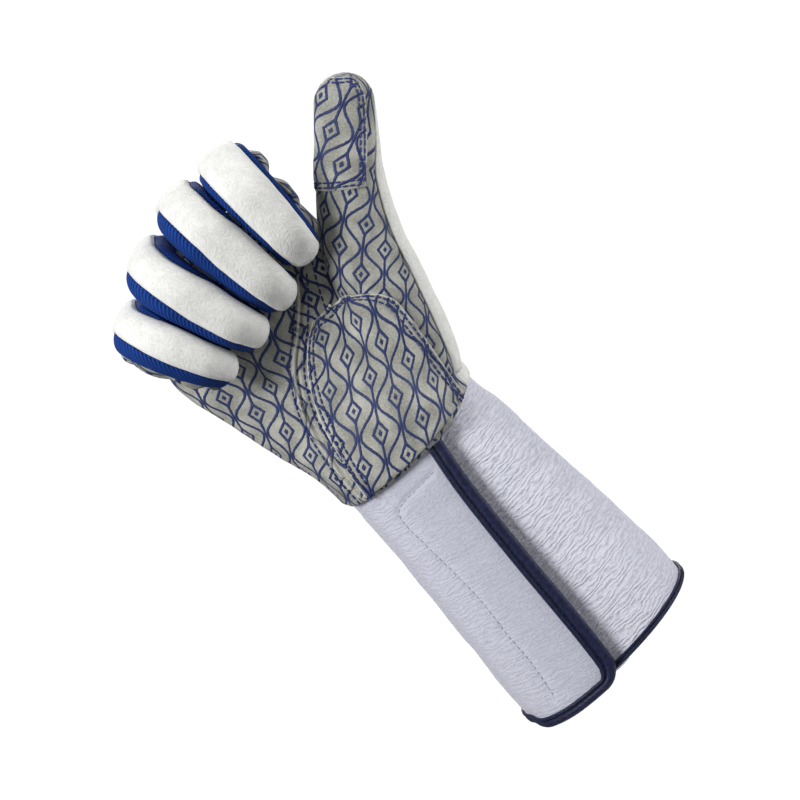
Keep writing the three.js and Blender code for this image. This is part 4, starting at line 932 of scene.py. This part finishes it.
stations = tape_stations()
TAPE_PROFILE = [(1.0, GAP), (1.02, GAP + 0.55), (0.97, GAP + 1.05), (0.86, GAP + 1.25), (0.76, GAP + 1.0),
                (0.7, GAP + 0.35), (GROOVE_SHARE, GAP + 0.05), (0.61, GAP + 0.35), (0.56, GAP + 0.95),
                (0.45, GAP + 1.2), (0.28, GAP + 1.25), (0.1, GAP + 1.1), (-0.04, GAP + 0.6), (-0.1, -0.3),
                (-0.12, -1.2), (-0.1, LOW + 0.1), (-0.02, LOW - 0.6), (0.15, LOW - TAPE_WALL)]
tape_points, groove_points = [], []
for station in stations:
    width = tape_width(station[0], station[2])
    row = [tape_point(station, share * width, out) for share, out in TAPE_PROFILE]
    row += [tape_point(station, TAPE_INNER_WIDTH, LOW - TAPE_WALL), tape_point(station, TAPE_INNER_WIDTH, LOW),
            tape_point(station, -GAP, LOW), tape_point(station, -GAP, GAP)]
    tape_points.append(row + [row[0]])
    groove_points.append(tape_point(station, GROOVE_SHARE * width, GAP + 0.3))
tape_points, groove_points = np.array(tape_points), np.array(groove_points)


def make_tube(name, points, material):
    """A closed tube from rings of points: the last column repeats the first, and both ends are capped."""
    at = numbered(points)
    quads = np.stack([at[:-1, :-1], at[1:, :-1], at[1:, 1:], at[:-1, 1:]], -1).reshape(-1, 4)
    faces = quads.tolist() + [at[0, :-1].tolist(), at[-1, :-1][::-1].tolist()]
    mesh = bpy.data.meshes.new(name)
    mesh.from_pydata((points.reshape(-1, 3) * MM).tolist(), [], faces)
    lay_flat(mesh, lengths(points, 0), lengths(points, 1))
    return finish_mesh(name, mesh, material)


TAPE = make_tube("edge_binding", tape_points, EDGE_TAPE)
# The way round takes in the tape's outer and inner face, so the cut is half as wide.
way_round, run, both_faces = flat_size(tape_points, np.s_[:])
FLAT["edge_binding"] = (way_round / 2, run, both_faces / 2)

# %% [markdown]
# The touch fastener lies hidden between underlap and flap, a plain strip of looped pile.

# %% Touch fastener
rows, columns = np.meshgrid(np.linspace(14, 110, 60), np.linspace(320, 352, 24), indexing="ij")
strip = gauntlet_face(columns, rows)
strip = lifted(strip, -(GAUNTLET_WALL + GAP + 0.3))
FASTENER = make_piece("fastener_strip", strip, 0.5, GAUNTLET_CLOTH, marks={"crinkle": 0.0})

# %% [markdown]
# Hand and thumb overlap, and their panels must not cut through each other. Both bodies are therefore built once as
# closed reference surfaces. Each column of a thumb panel starts where it leaves the hand, and palm faces that
# would lie inside the thumb are left out.

# %% Reference bodies and thumb roots
BURIED_DEPTH, HIDDEN_DEPTH = -0.2, 1.6  # how deep a thumb point counts as in the hand, and a hand point as hidden
ring_angles = np.arange(0, 360, 2.5)
ring_places = np.linspace(0, 1, 90)
HAND_BODY = bvh(hand_face(*np.meshgrid(ring_angles, ring_places)), loop=True)
THUMB_BODY = bvh(thumb_face(*np.meshgrid(ring_angles, np.linspace(0, 1.98, 110))), loop=True)


def thumb_starts(angles):
    places = np.linspace(0.92, 0.0, 70)
    inside = depth_inside(HAND_BODY, thumb_face(angles[:, None], places[None, :])) > BURIED_DEPTH
    first = np.where(inside.any(1), inside.argmax(1), len(places) - 1)
    high, low = places[np.maximum(first - 1, 0)], places[first]
    for _ in range(7):
        middle = (high + low) / 2
        buried = depth_inside(HAND_BODY, thumb_face(angles, middle)) > BURIED_DEPTH
        low, high = np.where(buried, middle, low), np.where(buried, high, middle)
    kernel = np.array([1, 4, 6, 4, 1]) / 16
    for _ in range(3):
        low = np.convolve(np.pad(low, 2, mode="edge"), kernel, mode="valid")
    return low


print("thumb leaves the palm at", np.round(thumb_starts(np.array([-90.0, 0, 45, 90, 150])), 2).tolist())

# %% [markdown]
# Palm and hand back share the hand's face and part at a seam on either side. The palm is thin suede that lies in
# shallow folds. The back is padded, so it swells between its seams.

# %% Palm and hand back
PALM_SEAM_LITTLE_SIDE, PALM_SEAM_WRIST, PALM_SEAM_INDEX = 100, 58, 94
SEAM_TRIM = GAP / 2 * 360 / (math.pi * (HAND_BREADTH + HAND_DEPTH))


def thumb_side_seam(place):
    return mix(PALM_SEAM_WRIST, PALM_SEAM_INDEX, smooth(place, 0.1, 0.5))


def hand_grid(low, high, rows, columns):
    places, shares = np.meshgrid(np.linspace(0, 1, rows), np.linspace(0, 1, columns), indexing="ij")
    return hand_face(mix(low(places) + SEAM_TRIM, high(places) - SEAM_TRIM, shares), places), places


palm, palm_place = hand_grid(lambda p: -PALM_SEAM_LITTLE_SIDE + 0 * p, thumb_side_seam, 190, 200)
in_thumb = depth_inside(THUMB_BODY, palm)
u, v = flat_map(palm)
folds = 0.5 * layered(u / 26 + 2, v / 22) + 0.25 * layered(u / 9, v / 11)
palm = lifted(palm, folds * smooth(palm_place, 0.02, 0.15))
GUSSET_SEAM = [(-31, 125), (-30.5, 136), (-28.5, 148), (-26, 160), (-22.5, 171), (-17, 181), (-9, 191), (0, 198),
               (8, 205), (14, 211), (19, 217)]


def profile_beside(points, seam, reach=8):
    """Signed distance from a seam on the surface: below zero on its left as seen."""
    line = seam_on([bvh(points)], seam)[0]
    run = np.gradient(line, axis=0)
    beside = np.full(points.shape[:2], 99.0)
    for p, along in zip(line, unit(run)):
        d = points - p
        far = np.linalg.norm(d, axis=-1)
        side = np.sign(d[..., 0] * along[2] - d[..., 2] * along[0])
        beside = np.where(far < np.abs(beside), far * side, beside)
    return np.clip(beside, -reach, reach)


beside = profile_beside(palm, GUSSET_SEAM)
welt = 1.2 * np.exp(-(((beside + 1.2) / 0.9) ** 2)) - 1.6 * np.exp(-(((beside - 0.2) / 0.6) ** 2))
welt = welt + 0.6 * np.exp(-(((beside - 1.7) / 1.0) ** 2)) - 0.5 * np.exp(-(((beside + 3.2) / 0.8) ** 2))
palm = lifted(palm, welt * smooth(palm_place, 0.0, 0.08))
palm = sink_edges(palm, ("left", "right"), 0.7, 1.5)
palm = sink_edges(palm, ("low",), 0.4, 0.7)
# The mark along the welt's ridge paints it lighter and unprinted: a painted highlight on the ridge.
PALM = make_piece("palm_suede", palm, SUEDE_BEHIND, PRINTED_SUEDE, uv=(u, v), keep=in_thumb < HIDDEN_DEPTH,
                  marks={"raw_edge_and_painted_highlight": 0.85 * np.exp(-(((beside + 1.0) / 0.6) ** 2))})

back, back_place = hand_grid(thumb_side_seam, lambda p: 360 - PALM_SEAM_LITTLE_SIDE + 0 * p, 150, 150)
in_thumb = depth_inside(THUMB_BODY, back)
u, v = flat_map(back)
plump = 0.5 * layered(u / 30, v / 26)
back = lifted(back, plump * smooth(back_place, 0.02, 0.2))
back = sink_edges(back, ("left", "right"), 1.1, 2.6)
back = sink_edges(back, ("low", "high"), 0.7, 1.5)
BACK = make_piece("hand_back_padding", back, PADDING_BEHIND, WHITE_LEATHER, uv=(u, v), keep=in_thumb < HIDDEN_DEPTH)

# %% [markdown]
# Thumb. Its printed front turns well round the inner side, and its padded back closes the rest. Both end in the
# same seam over the tip.

# %% Thumb front and back
THUMB_SEAM_OUTER, THUMB_SEAM_INNER = 47, 104


def thumb_panel(low, high, low_tip, high_tip, columns, rows=150):
    shares = np.linspace(0, 1, columns)
    starts = thumb_starts(mix(low, high, shares))
    t = np.linspace(0, 1, rows)[:, None]
    places = mix(starts[None, :], 2.0, t)
    closed = smooth(places, 0.8, 1.02)
    trim = GAP / THUMB_WIDTH * 180 / math.pi * (1 - closed)
    angle = mix(mix(low, low_tip, closed) + trim, mix(high, high_tip, closed) - trim, shares[None, :])
    return thumb_face(angle, places), angle, places


THUMB_LENGTH = float(lengths(thumb_line(np.linspace(0, 1, 60))[:, None], 0)[-1, 0])
THUMB_TIP_LENGTH = 20
front, front_angle, front_place = thumb_panel(-THUMB_SEAM_INNER, THUMB_SEAM_OUTER, -90, 90, 90)
u = np.radians(front_angle) * read(THUMB_ROWS, "half", np.minimum(front_place, 1)) * THUMB_WIDTH
v = np.minimum(front_place, 1) * THUMB_LENGTH + np.maximum(front_place - 1, 0) * THUMB_TIP_LENGTH
folds = 0.35 * layered(u / 14 + 7, v / 12) * smooth(front_place, 0.2, 0.4) * (1 - smooth(front_place, 1.6, 1.95))
front = lifted(front, folds)
front = sink_edges(front, ("left", "right"), 0.9, 1.6)
THUMB_FRONT = make_piece("thumb_front_suede", front, SUEDE_BEHIND, PRINTED_SUEDE, uv=(u, v))

thumb_back, _, back_place = thumb_panel(THUMB_SEAM_OUTER, 360 - THUMB_SEAM_INNER, 90, 270, 110)
u, v = flat_map(thumb_back)
plump = (0.7 + 0.5 * layered(u / 22, v / 20)) * (1 - smooth(back_place, 1.6, 1.95))
thumb_back = lifted(thumb_back, plump * smooth(v, 1, 9))
thumb_back = sink_edges(thumb_back, ("left", "right"), 1.0, 1.5)
THUMB_BACK = make_piece("thumb_back_padding", thumb_back, PADDING_BEHIND, WHITE_LEATHER, uv=(u, v))

# %% [markdown]
# Fingers. Each has a white padded back, a grey printed front and a blue knit strip on either side that narrows
# towards the tip. A fist rolls the backs towards the thumb, so the strips show on the other side: the table gives
# the back's two edges, and where the front begins, in degrees round the finger. The knit swells out until it meets
# its neighbour. The index finger's front stands out in two gathered lobes beside its strip.

# %% Finger panels
ROLLED = {
    "index": dict(back=(-55, 53), front=(-74, 116), back_end=(-58, 53)),
    "middle": dict(back=(-56, 31), front=(-116, 116), back_end=(-76, 38)),
    "ring": dict(back=(-58, 25), front=(-116, 116), back_end=(-78, 34)),
    "little": dict(back=(-54, 18), front=(-116, 62), back_end=(-74, 24)),
}
PLAIN_BACK, PLAIN_FRONT = 53, 98
FINGER_PLACES = np.concatenate([np.linspace(0.006, 1, 120), np.linspace(1, 2, 30)[1:]])
KNIT_END, KNIT_SWELL = 1.72, 1.1
LOBES = {"height": (270.5, 252.5), "reach": (5.2, 8.0), "out": (3.4, 3.8)}


def border(index, panel, side, place):
    """A panel's edge in degrees: plain at the knuckle, rolled over the fist, closed at the tip."""
    plain = (PLAIN_BACK if panel == "back" else PLAIN_FRONT) * (-1, 1)[side]
    table = ROLLED[FINGERS[index]["name"]]
    rolled = mix(plain, table[panel][side], smooth(place, 0.12, 0.42))
    if panel == "back":
        rolled = mix(rolled, table["back_end"][side], smooth(place, 0.52, 0.75))
    return mix(rolled, 90 * (-1, 1)[side], smooth(place, 1.3, 1.92))


def trim_at(place):
    return GAP / FINGER_WIDTH * 180 / math.pi * (1 - smooth(place, 1.3, 1.9))


def finger_panel(index, low, high, columns, places=FINGER_PLACES, swell=0.0):
    grid, shares = np.meshgrid(places, np.linspace(0, 1, columns), indexing="ij")
    low, high = low(grid) + trim_at(grid), high(grid) - trim_at(grid)
    bulge = swell * np.sin(np.pi * shares) ** 0.7 * smooth(grid, 0.02, 0.2) * (1 - smooth(grid, 1.0, 1.5))
    return finger_face(index, mix(low, high, shares), grid, bulge), mix(low, high, shares), grid


PIECES = {}
for index, finger in enumerate(FINGERS):
    name = finger["name"]
    back_low, back_high, front_low, front_high = (
        (lambda p, panel=panel, side=side, index=index: border(index, panel, side, p))
        for panel in ("back", "front") for side in (0, 1))
    points, _, grid = finger_panel(index, back_low, back_high, 44)
    u, v = flat_map(points)
    plump = (0.8 + 0.3 * layered(u / 15 + 3 * index, v / 13, 2)) * (1 - 0.6 * smooth(grid, 1.5, 1.95))
    points = lifted(points, plump * smooth(v, 0, 5))
    points = sink_edges(points, ("left", "right"), 0.9, 1.1)
    points = pressed(sink_edges(points, ("low",), 0.8, 1.6), index)
    PIECES[name + "_back"] = make_piece(name + "_padding", points, PADDING_BEHIND, WHITE_LEATHER,
                                        uv=(u, v + 40 * index))
    points, angle, grid = finger_panel(index, front_high, lambda p: front_low(p) + 360, 44)
    u, v = flat_map(points)
    folds = 0.35 * layered(u / 9 + 4 * index, v / 7, 2) * (1 - smooth(grid, 1.6, 1.95))
    if name == "index":
        near_edge = np.exp(-(((angle - 270) / 15) ** 2)) * smooth(grid, 0.3, 0.42)
        for height, reach, out in zip(LOBES["height"], LOBES["reach"], LOBES["out"]):
            folds = folds + out * near_edge * np.exp(-(((points[..., 2] - height) / reach) ** 4))
    if name == "little":
        near_edge = np.exp(-(((angle - 84) / 20) ** 2)) * smooth(grid, 0.25, 0.4)
        folds = folds + near_edge * (0.8 + 1.1 * np.sin(v / 3.1 + u / 5))
    points = lifted(points, folds)
    points = pressed(sink_edges(points, ("left", "right"), 0.5, 1.2), index)
    PIECES[name + "_front"] = make_piece(name + "_suede", points, SUEDE_BEHIND, PRINTED_SUEDE,
                                         uv=(u + 7 * index, v + 31 * index))
    places = FINGER_PLACES[FINGER_PLACES < KNIT_END]
    for letter, low, high in (("a", back_high, front_high), ("b", front_low, back_low)):
        points, _, grid = finger_panel(index, low, high, 18, places, KNIT_SWELL)
        u, v = flat_map(points)
        points = pressed(sink_edges(points, ("left", "right"), 0.35, 0.9), index)
        PIECES[name + "_side_" + letter] = make_piece(name + "_knit_" + letter, points, KNIT_BEHIND, BLUE_KNIT,
                                                      uv=(u, v))

# %% [markdown]
# The patch over the ball of the thumb is a second layer of suede. It bridges the fold between palm and thumb as
# one taut skin. Its height over the glove is sampled on a grid, smoothed, and never let below what it lies on.

# %% Thenar patch
THENAR_ROWS = {
    "at": (0, 0.15, 0.32, 0.48, 0.62, 0.75, 0.86, 0.93, 1),
    "left": (-0.3, -0.281, -0.248, -0.214, -0.172, -0.114, -0.047, 0.01, 0.09),
    "right": (0.352, 0.366, 0.388, 0.408, 0.42, 0.425, 0.39, 0.335, 0.255),
}
THENAR_HEIGHT, THENAR_FOOT = 73, 1.8


def ground_y(x, z):
    """How near the glove's surface comes to the viewer at a place across and up."""
    y = 0.0
    for tree in (HAND_BODY, THUMB_BODY):
        hit, _, _, _ = tree.ray_cast(Vector((x, -150, z)), Vector((0, 1, 0)))
        if hit is not None:
            y = min(y, hit.y)
    return y


levels, shares = np.meshgrid(np.linspace(0, 1, 150), np.linspace(0, 1, 140), indexing="ij")
x = mix(read(THENAR_ROWS, "left", levels), read(THENAR_ROWS, "right", levels), shares) * HAND_BREADTH
foot = wrist_seam(np.degrees(np.arcsin(x / (HAND_BREADTH / 2)))) + THENAR_FOOT
z = mix(foot, GAUNTLET_LENGTH + THENAR_HEIGHT, levels)
lie = np.array([[ground_y(float(a), float(b)) for a, b in zip(ra, rb)] for ra, rb in zip(x, z)])
taut = lie.copy()
for _ in range(100):
    padded_lie = np.pad(taut, 1, mode="edge")
    taut = (padded_lie[:-2, 1:-1] + padded_lie[2:, 1:-1] + padded_lie[1:-1, :-2] + padded_lie[1:-1, 2:]) / 4
    taut = np.minimum(taut, lie + 0.15)
thenar = np.stack([x, taut, z], -1)
u, v = flat_map(thenar)
thenar = lifted(thenar, PATCH_WALL + 0.75 + 0.5 * layered(u / 19 + 3, v / 17))
PATCH_ROWS = (1.7, 4.2)


def quilt(points, sides, rows, depth=0.55, width=0.8):
    """The edge of a patch: rolled a little, with a groove where each row of thread pulls it down."""
    distance = edge_distance(points, sides)
    dip = 0.35 * np.exp(-((distance / 0.5) ** 2))
    for row in rows:
        dip = dip + depth * np.exp(-(((distance - row) / width) ** 2))
    return lifted(points, -dip)


thenar = quilt(thenar, ("left", "right", "high"), PATCH_ROWS)
thenar = sink_edges(thenar, ("low",), 0.4, 0.8)
# The mark along the patch's cut edge paints it lighter and unprinted: its raw edge, and also a painted highlight along
# the rim.
THENAR = make_piece("thenar_patch_suede", thenar, PATCH_WALL, PRINTED_SUEDE, uv=(u + 3, v + 4),
                    marks={"raw_edge_and_painted_highlight": np.exp(-((edge_distance(thenar, ("left", "right", "high")) / 0.5) ** 4))})

# %% [markdown]
# The patch over the ball of the thumb's tip is smaller, and wraps towards the inner side.

# %% Thumb pad
PAD_ROWS = {"at": (0.8, 0.86, 0.93, 1.0, 1.2, 1.4, 1.54), "low": (-84, -84, -84, -82, -76, -66, -52),
            "high": (22, 27, 32, 34, 33, 28, 18)}
places, shares = np.meshgrid(np.linspace(0.8, 1.54, 90), np.linspace(0, 1, 70), indexing="ij")
pad = thumb_face(mix(read(PAD_ROWS, "low", places), read(PAD_ROWS, "high", places), shares), places)
u, v = flat_map(pad)
pad = lifted(pad, PATCH_WALL + 0.55 + 0.3 * layered(u / 11, v / 10))
PAD_SEAMS = (1.5, 3.6)
pad = sink_edges(pad, ("left", "right", "low", "high"), 0.35, 1.6)
pad = quilt(pad, ("right", "low", "high"), PAD_SEAMS, 0.4, 0.7)
pad = sink_edges(pad, ("left",), 0.7, 1.0)
# The mark along the pad's cut edge paints it lighter and unprinted: its raw edge, and also a painted highlight along
# the rim.
PAD = make_piece("thumb_pad_suede", pad, PATCH_WALL, PRINTED_SUEDE, uv=(u + 9, v + 3),
                 marks={"raw_edge_and_painted_highlight": np.exp(-((edge_distance(pad, ("right", "low", "high")) / 0.45) ** 4))})

# %% [markdown]
# Stitches are the part that repeats. A Geometry Nodes tree takes seam lines, spaces points along them and puts one
# plump thread end to end on each, turned to follow the seam. The same tree makes every seam, with its own length,
# spacing and thread.

# %% Stitch tree
def stitch_tree():
    tree = bpy.data.node_groups.new("lockstitch along a seam", "GeometryNodeTree")
    face = tree.interface
    face.new_socket("Seams", in_out="INPUT", socket_type="NodeSocketGeometry")
    for label, value in (("Spacing", 0.0028), ("Stitch length", 0.0022), ("Thread width", 0.0006)):
        face.new_socket(label, in_out="INPUT", socket_type="NodeSocketFloat").default_value = value
    face.new_socket("Thread", in_out="INPUT", socket_type="NodeSocketMaterial")
    face.new_socket("Stitches", in_out="OUTPUT", socket_type="NodeSocketGeometry")
    given = add(tree, "NodeGroupInput")
    curve = add(tree, "GeometryNodeMeshToCurve", {0: given.outputs["Seams"]})
    spaced = add(tree, "GeometryNodeResampleCurve", {"Curve": curve.outputs[0], "Length": given.outputs["Spacing"]},
                 mode="LENGTH")
    bead = add(tree, "GeometryNodeMeshUVSphere", {"Segments": 8, "Rings": 6, "Radius": 0.5})
    tangent = add(tree, "GeometryNodeInputTangent")
    turn = add(tree, "FunctionNodeAlignRotationToVector", {"Vector": tangent.outputs[0]}, axis="Z")
    size = add(tree, "ShaderNodeCombineXYZ", {0: given.outputs["Thread width"], 1: given.outputs["Thread width"],
                                              2: given.outputs["Stitch length"]})
    sewn = add(tree, "GeometryNodeInstanceOnPoints", {"Points": spaced.outputs[0], "Instance": bead.outputs[0],
                                                      "Rotation": turn.outputs[0], "Scale": size.outputs[0]})
    real = add(tree, "GeometryNodeRealizeInstances", {0: sewn.outputs[0]})
    dyed = add(tree, "GeometryNodeSetMaterial", {"Geometry": real.outputs[0], "Material": given.outputs["Thread"]})
    add(tree, "NodeGroupOutput", {0: dyed.outputs[0]})
    return tree


STITCH_TREE = stitch_tree()
print("the stitch tree takes", [item.name for item in STITCH_TREE.interface.items_tree if item.in_out == "INPUT"])


def sew(name, seams, thread, spacing, length, width):
    """seams: lists of points in millimetres, each already at the thread's height."""
    verts, edges = [], []
    for seam in seams:
        start = len(verts)
        verts += (np.asarray(seam) * MM).tolist()
        edges += [(k, k + 1) for k in range(start, len(verts) - 1)]
    mesh = bpy.data.meshes.new(name)
    mesh.from_pydata(verts, edges, [])
    piece = bpy.data.objects.new(name, mesh)
    bpy.context.scene.collection.objects.link(piece)
    modifier = piece.modifiers.new("stitches", "NODES")
    modifier.node_group = STITCH_TREE
    sockets = {item.name: item.identifier for item in STITCH_TREE.interface.items_tree if item.in_out == "INPUT"}
    for label, value in (("Spacing", spacing), ("Stitch length", length), ("Thread width", width), ("Thread", thread)):
        modifier[sockets[label]] = value
    made = bpy.data.meshes.new_from_object(piece.evaluated_get(bpy.context.evaluated_depsgraph_get()))
    piece.modifiers.remove(modifier)
    piece.data = made
    made.shade_smooth()
    print(f"{name}: {len(made.polygons)} faces")
    return piece


# %% [markdown]
# Where the seams run. The patches carry two rows of navy thread just inside their edges. A double row beside the
# patch joins the thumb's gusset to the palm. The gauntlet's rectangle is sewn in white, and the tape in black.

# %% Seams on the suede
THREAD_LIFT, EASE_PASSES = 0.12, 6
FROM = {"left": 3, "low": 4, "right": 5, "high": 6}  # where edge_row's table holds the distance from each side
ROW_STARTS = {"high": 8, "low": 3.5}  # how far from the left side a row along these sides begins


def eased(line):
    for _ in range(EASE_PASSES):
        line[1:-1] = (line[:-2] + 2 * line[1:-1] + line[2:]) / 4
    return line


def edge_row(points, inset, sides):
    """A line at a fixed distance inside a panel's edges, just above its outer face."""
    u, v = lengths(points, 1), lengths(points, 0)
    distances = [d[..., None] for d in (u, v, u[:, -1:] - u, v[-1:] - v)]
    fields = np.concatenate([lifted(points, THREAD_LIFT), *distances], -1)
    line = []
    for side in ("left", "high", "right", "low"):
        if side not in sides:
            continue
        upright = side in ("left", "right")
        rows = fields if upright else fields.transpose(1, 0, 2)
        for row in rows if side in ("left", "high") else rows[::-1]:
            order = np.argsort(row[:, FROM[side]], kind="stable")
            here = [np.interp(inset, row[order, FROM[side]], row[order, k]) for k in range(7)]
            if upright:
                taken = all(here[FROM[end]] > inset for end in ("high", "low") if end in sides)
            else:
                taken = here[FROM["left"]] > ROW_STARTS[side] and here[FROM["right"]] > inset
            if taken:
                line.append(here[:3])
    return eased(np.array(line))


def raised(seam, lift):
    points, normals = seam
    return eased(points) + normals * lift


SUEDE_TREES = [bvh(palm), bvh(front), bvh(thenar), bvh(pad)]
seams = [edge_row(thenar, inset, ("left", "high", "right")) for inset in PATCH_ROWS]
seams += [edge_row(pad, inset, ("high", "right", "low")) for inset in PAD_SEAMS]
for shift in (-3.2, 3.4):
    line = [(a + shift * 0.85, b - shift * 0.5) for a, b in GUSSET_SEAM]
    seams.append(raised(seam_on(SUEDE_TREES, line), 0.15))
seams.append(raised(seam_on(SUEDE_TREES, [(17, 198), (22, 208), (28, 218)]), 0.15))
STITCHES = sew("suede_stitches", seams, THREADS["navy"], spacing=0.0031, length=0.0028, width=0.001)

rectangle = raised(seam_on([bvh(gauntlet)], FASTENER_SEAM), 0.0)
WHITE_STITCHES = sew("fastener_stitches", [rectangle], THREADS["white"], spacing=0.0029, length=0.0021, width=0.0006)
TAPE_STITCHES = sew("tape_stitches", [groove_points], THREADS["black"], spacing=0.0026, length=0.002, width=0.0006)

# %% [markdown]
# Every piece rides on the one rigid body and stands for its node of the frame. Cloth and suede are listed as
# sheets, and their flat sizes are printed, which are the lengths of the same grids laid flat. The white panels are
# padded.

# %% Riding, standing in and flat sizes
ALL = {"gauntlet": GAUNTLET, "edge_tape": TAPE, "touch_fastener": FASTENER, "palm": PALM, "hand_back": BACK,
       "thumb_front": THUMB_FRONT, "thumb_back": THUMB_BACK, "thenar_patch": THENAR, "thumb_pad": PAD, **PIECES}
for node, piece in ALL.items():
    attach(piece, "root")
    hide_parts(node)
for piece, name in ((STITCHES, "printed_suede"), (WHITE_STITCHES, "gauntlet_cloth"), (TAPE_STITCHES, "edge_tape")):
    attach(piece, "root")

SHEETS = {"gauntlet": ("folded", ()), "edge_tape": ("folded", (GAUNTLET,)), "touch_fastener": ("laid", (GAUNTLET,)),
          "palm": ("stretched", (GAUNTLET,)), "thumb_front": ("stretched", (PALM,)),
          "thenar_patch": ("stretched", (PALM, THUMB_FRONT)), "thumb_pad": ("stretched", (THUMB_FRONT,))}
for node, piece in PIECES.items():
    if not node.endswith("_back"):
        SHEETS[node] = ("stretched", (PALM if node.endswith("_front") else PIECES[node.split("_")[0] + "_front"],))
LEAST_WIDTH = 0.01  # a strip is cut at least 10 mm wide, to leave something to sew through
for node, (held, under) in SHEETS.items():
    width, length, area = FLAT[ALL[node].name]
    width = max(width, LEAST_WIDTH)
    print(f"{node}: cut {width * 1000:.0f} x {length * 1000:.0f} mm, {area * 1e4:.1f} cm2")

# %% [markdown]
# Light is a plain studio: a white room that is darker below, a soft key light above and in front of the fingers,
# which shades their ends and the step of the flap, and two weaker lights, one behind and one at the side.

# %% Light and floor
world = bpy.data.worlds.new("white room")
bpy.context.scene.world = world
world.use_nodes = True
tree = world.node_tree
tree.nodes.clear()
path = add(tree, "ShaderNodeLightPath")
way = add(tree, "ShaderNodeTexCoord")
height = add(tree, "ShaderNodeSeparateXYZ", {0: way.outputs["Generated"]})
wall = add(tree, "ShaderNodeMapRange", {"Value": height.outputs["Z"], "From Min": -1.0, "To Min": 0.1,
                                        "To Max": 0.39})
glow = add(tree, "ShaderNodeMix", {0: path.outputs["Is Camera Ray"], 2: wall.outputs[0], 3: 1.05})
room = add(tree, "ShaderNodeBackground", {"Color": (1, 1, 1, 1), "Strength": glow.outputs[0]})
add(tree, "ShaderNodeOutputWorld", {"Surface": room.outputs[0]})
LIT_POINT = (0, 0, 0.17)
LIGHTS = {"key": ((-0.6, -0.72, 0.95), 14.5, 0.42), "behind": ((0.3, 1.05, 0.7), 9, 0.6),
          "second": ((1.1, -0.2, 0.2), 8.5, 0.6)}
for name, (place, power, size) in LIGHTS.items():
    light = bpy.data.objects.new(name, bpy.data.lights.new(name, "AREA"))
    light.data.energy, light.data.size = power, size
    light.location = place
    light.rotation_mode = "QUATERNION"
    light.rotation_quaternion = (Vector(place) - Vector(LIT_POINT)).to_track_quat("Z", "Y")
    bpy.context.scene.collection.objects.link(light)

FLOOR_RADIUS, FLOOR_LEVEL = 0.27, -0.25
floor_mesh = bpy.data.meshes.new("floor")
circle = [(FLOOR_RADIUS * math.cos(math.radians(a)), FLOOR_RADIUS * math.sin(math.radians(a)), FLOOR_LEVEL)
          for a in range(0, 360, 5)]
floor_mesh.from_pydata(circle, [], [list(range(len(circle)))])
floor = bpy.data.objects.new("floor", floor_mesh)
bpy.context.scene.collection.objects.link(floor)
FLOOR_PAINT, tree = new_material("matt white board")
grain = add(tree, "ShaderNodeTexNoise", {"Scale": 40.0})
shade = add(tree, "ShaderNodeValToRGB", {"Fac": grain.outputs["Fac"]}, stops=((0, "#f4f4f4"), (1, "#fafafa")))
board = add(tree, "ShaderNodeBsdfPrincipled", {"Base Color": shade.outputs["Color"], "Roughness": 0.9})
close_material(tree, board)
floor_mesh.materials.append(FLOOR_PAINT)
bpy.context.scene.view_settings.view_transform = "Standard"
print("lights:", list(LIGHTS), "and a floor", round(2 * FLOOR_RADIUS, 2), "m wide")
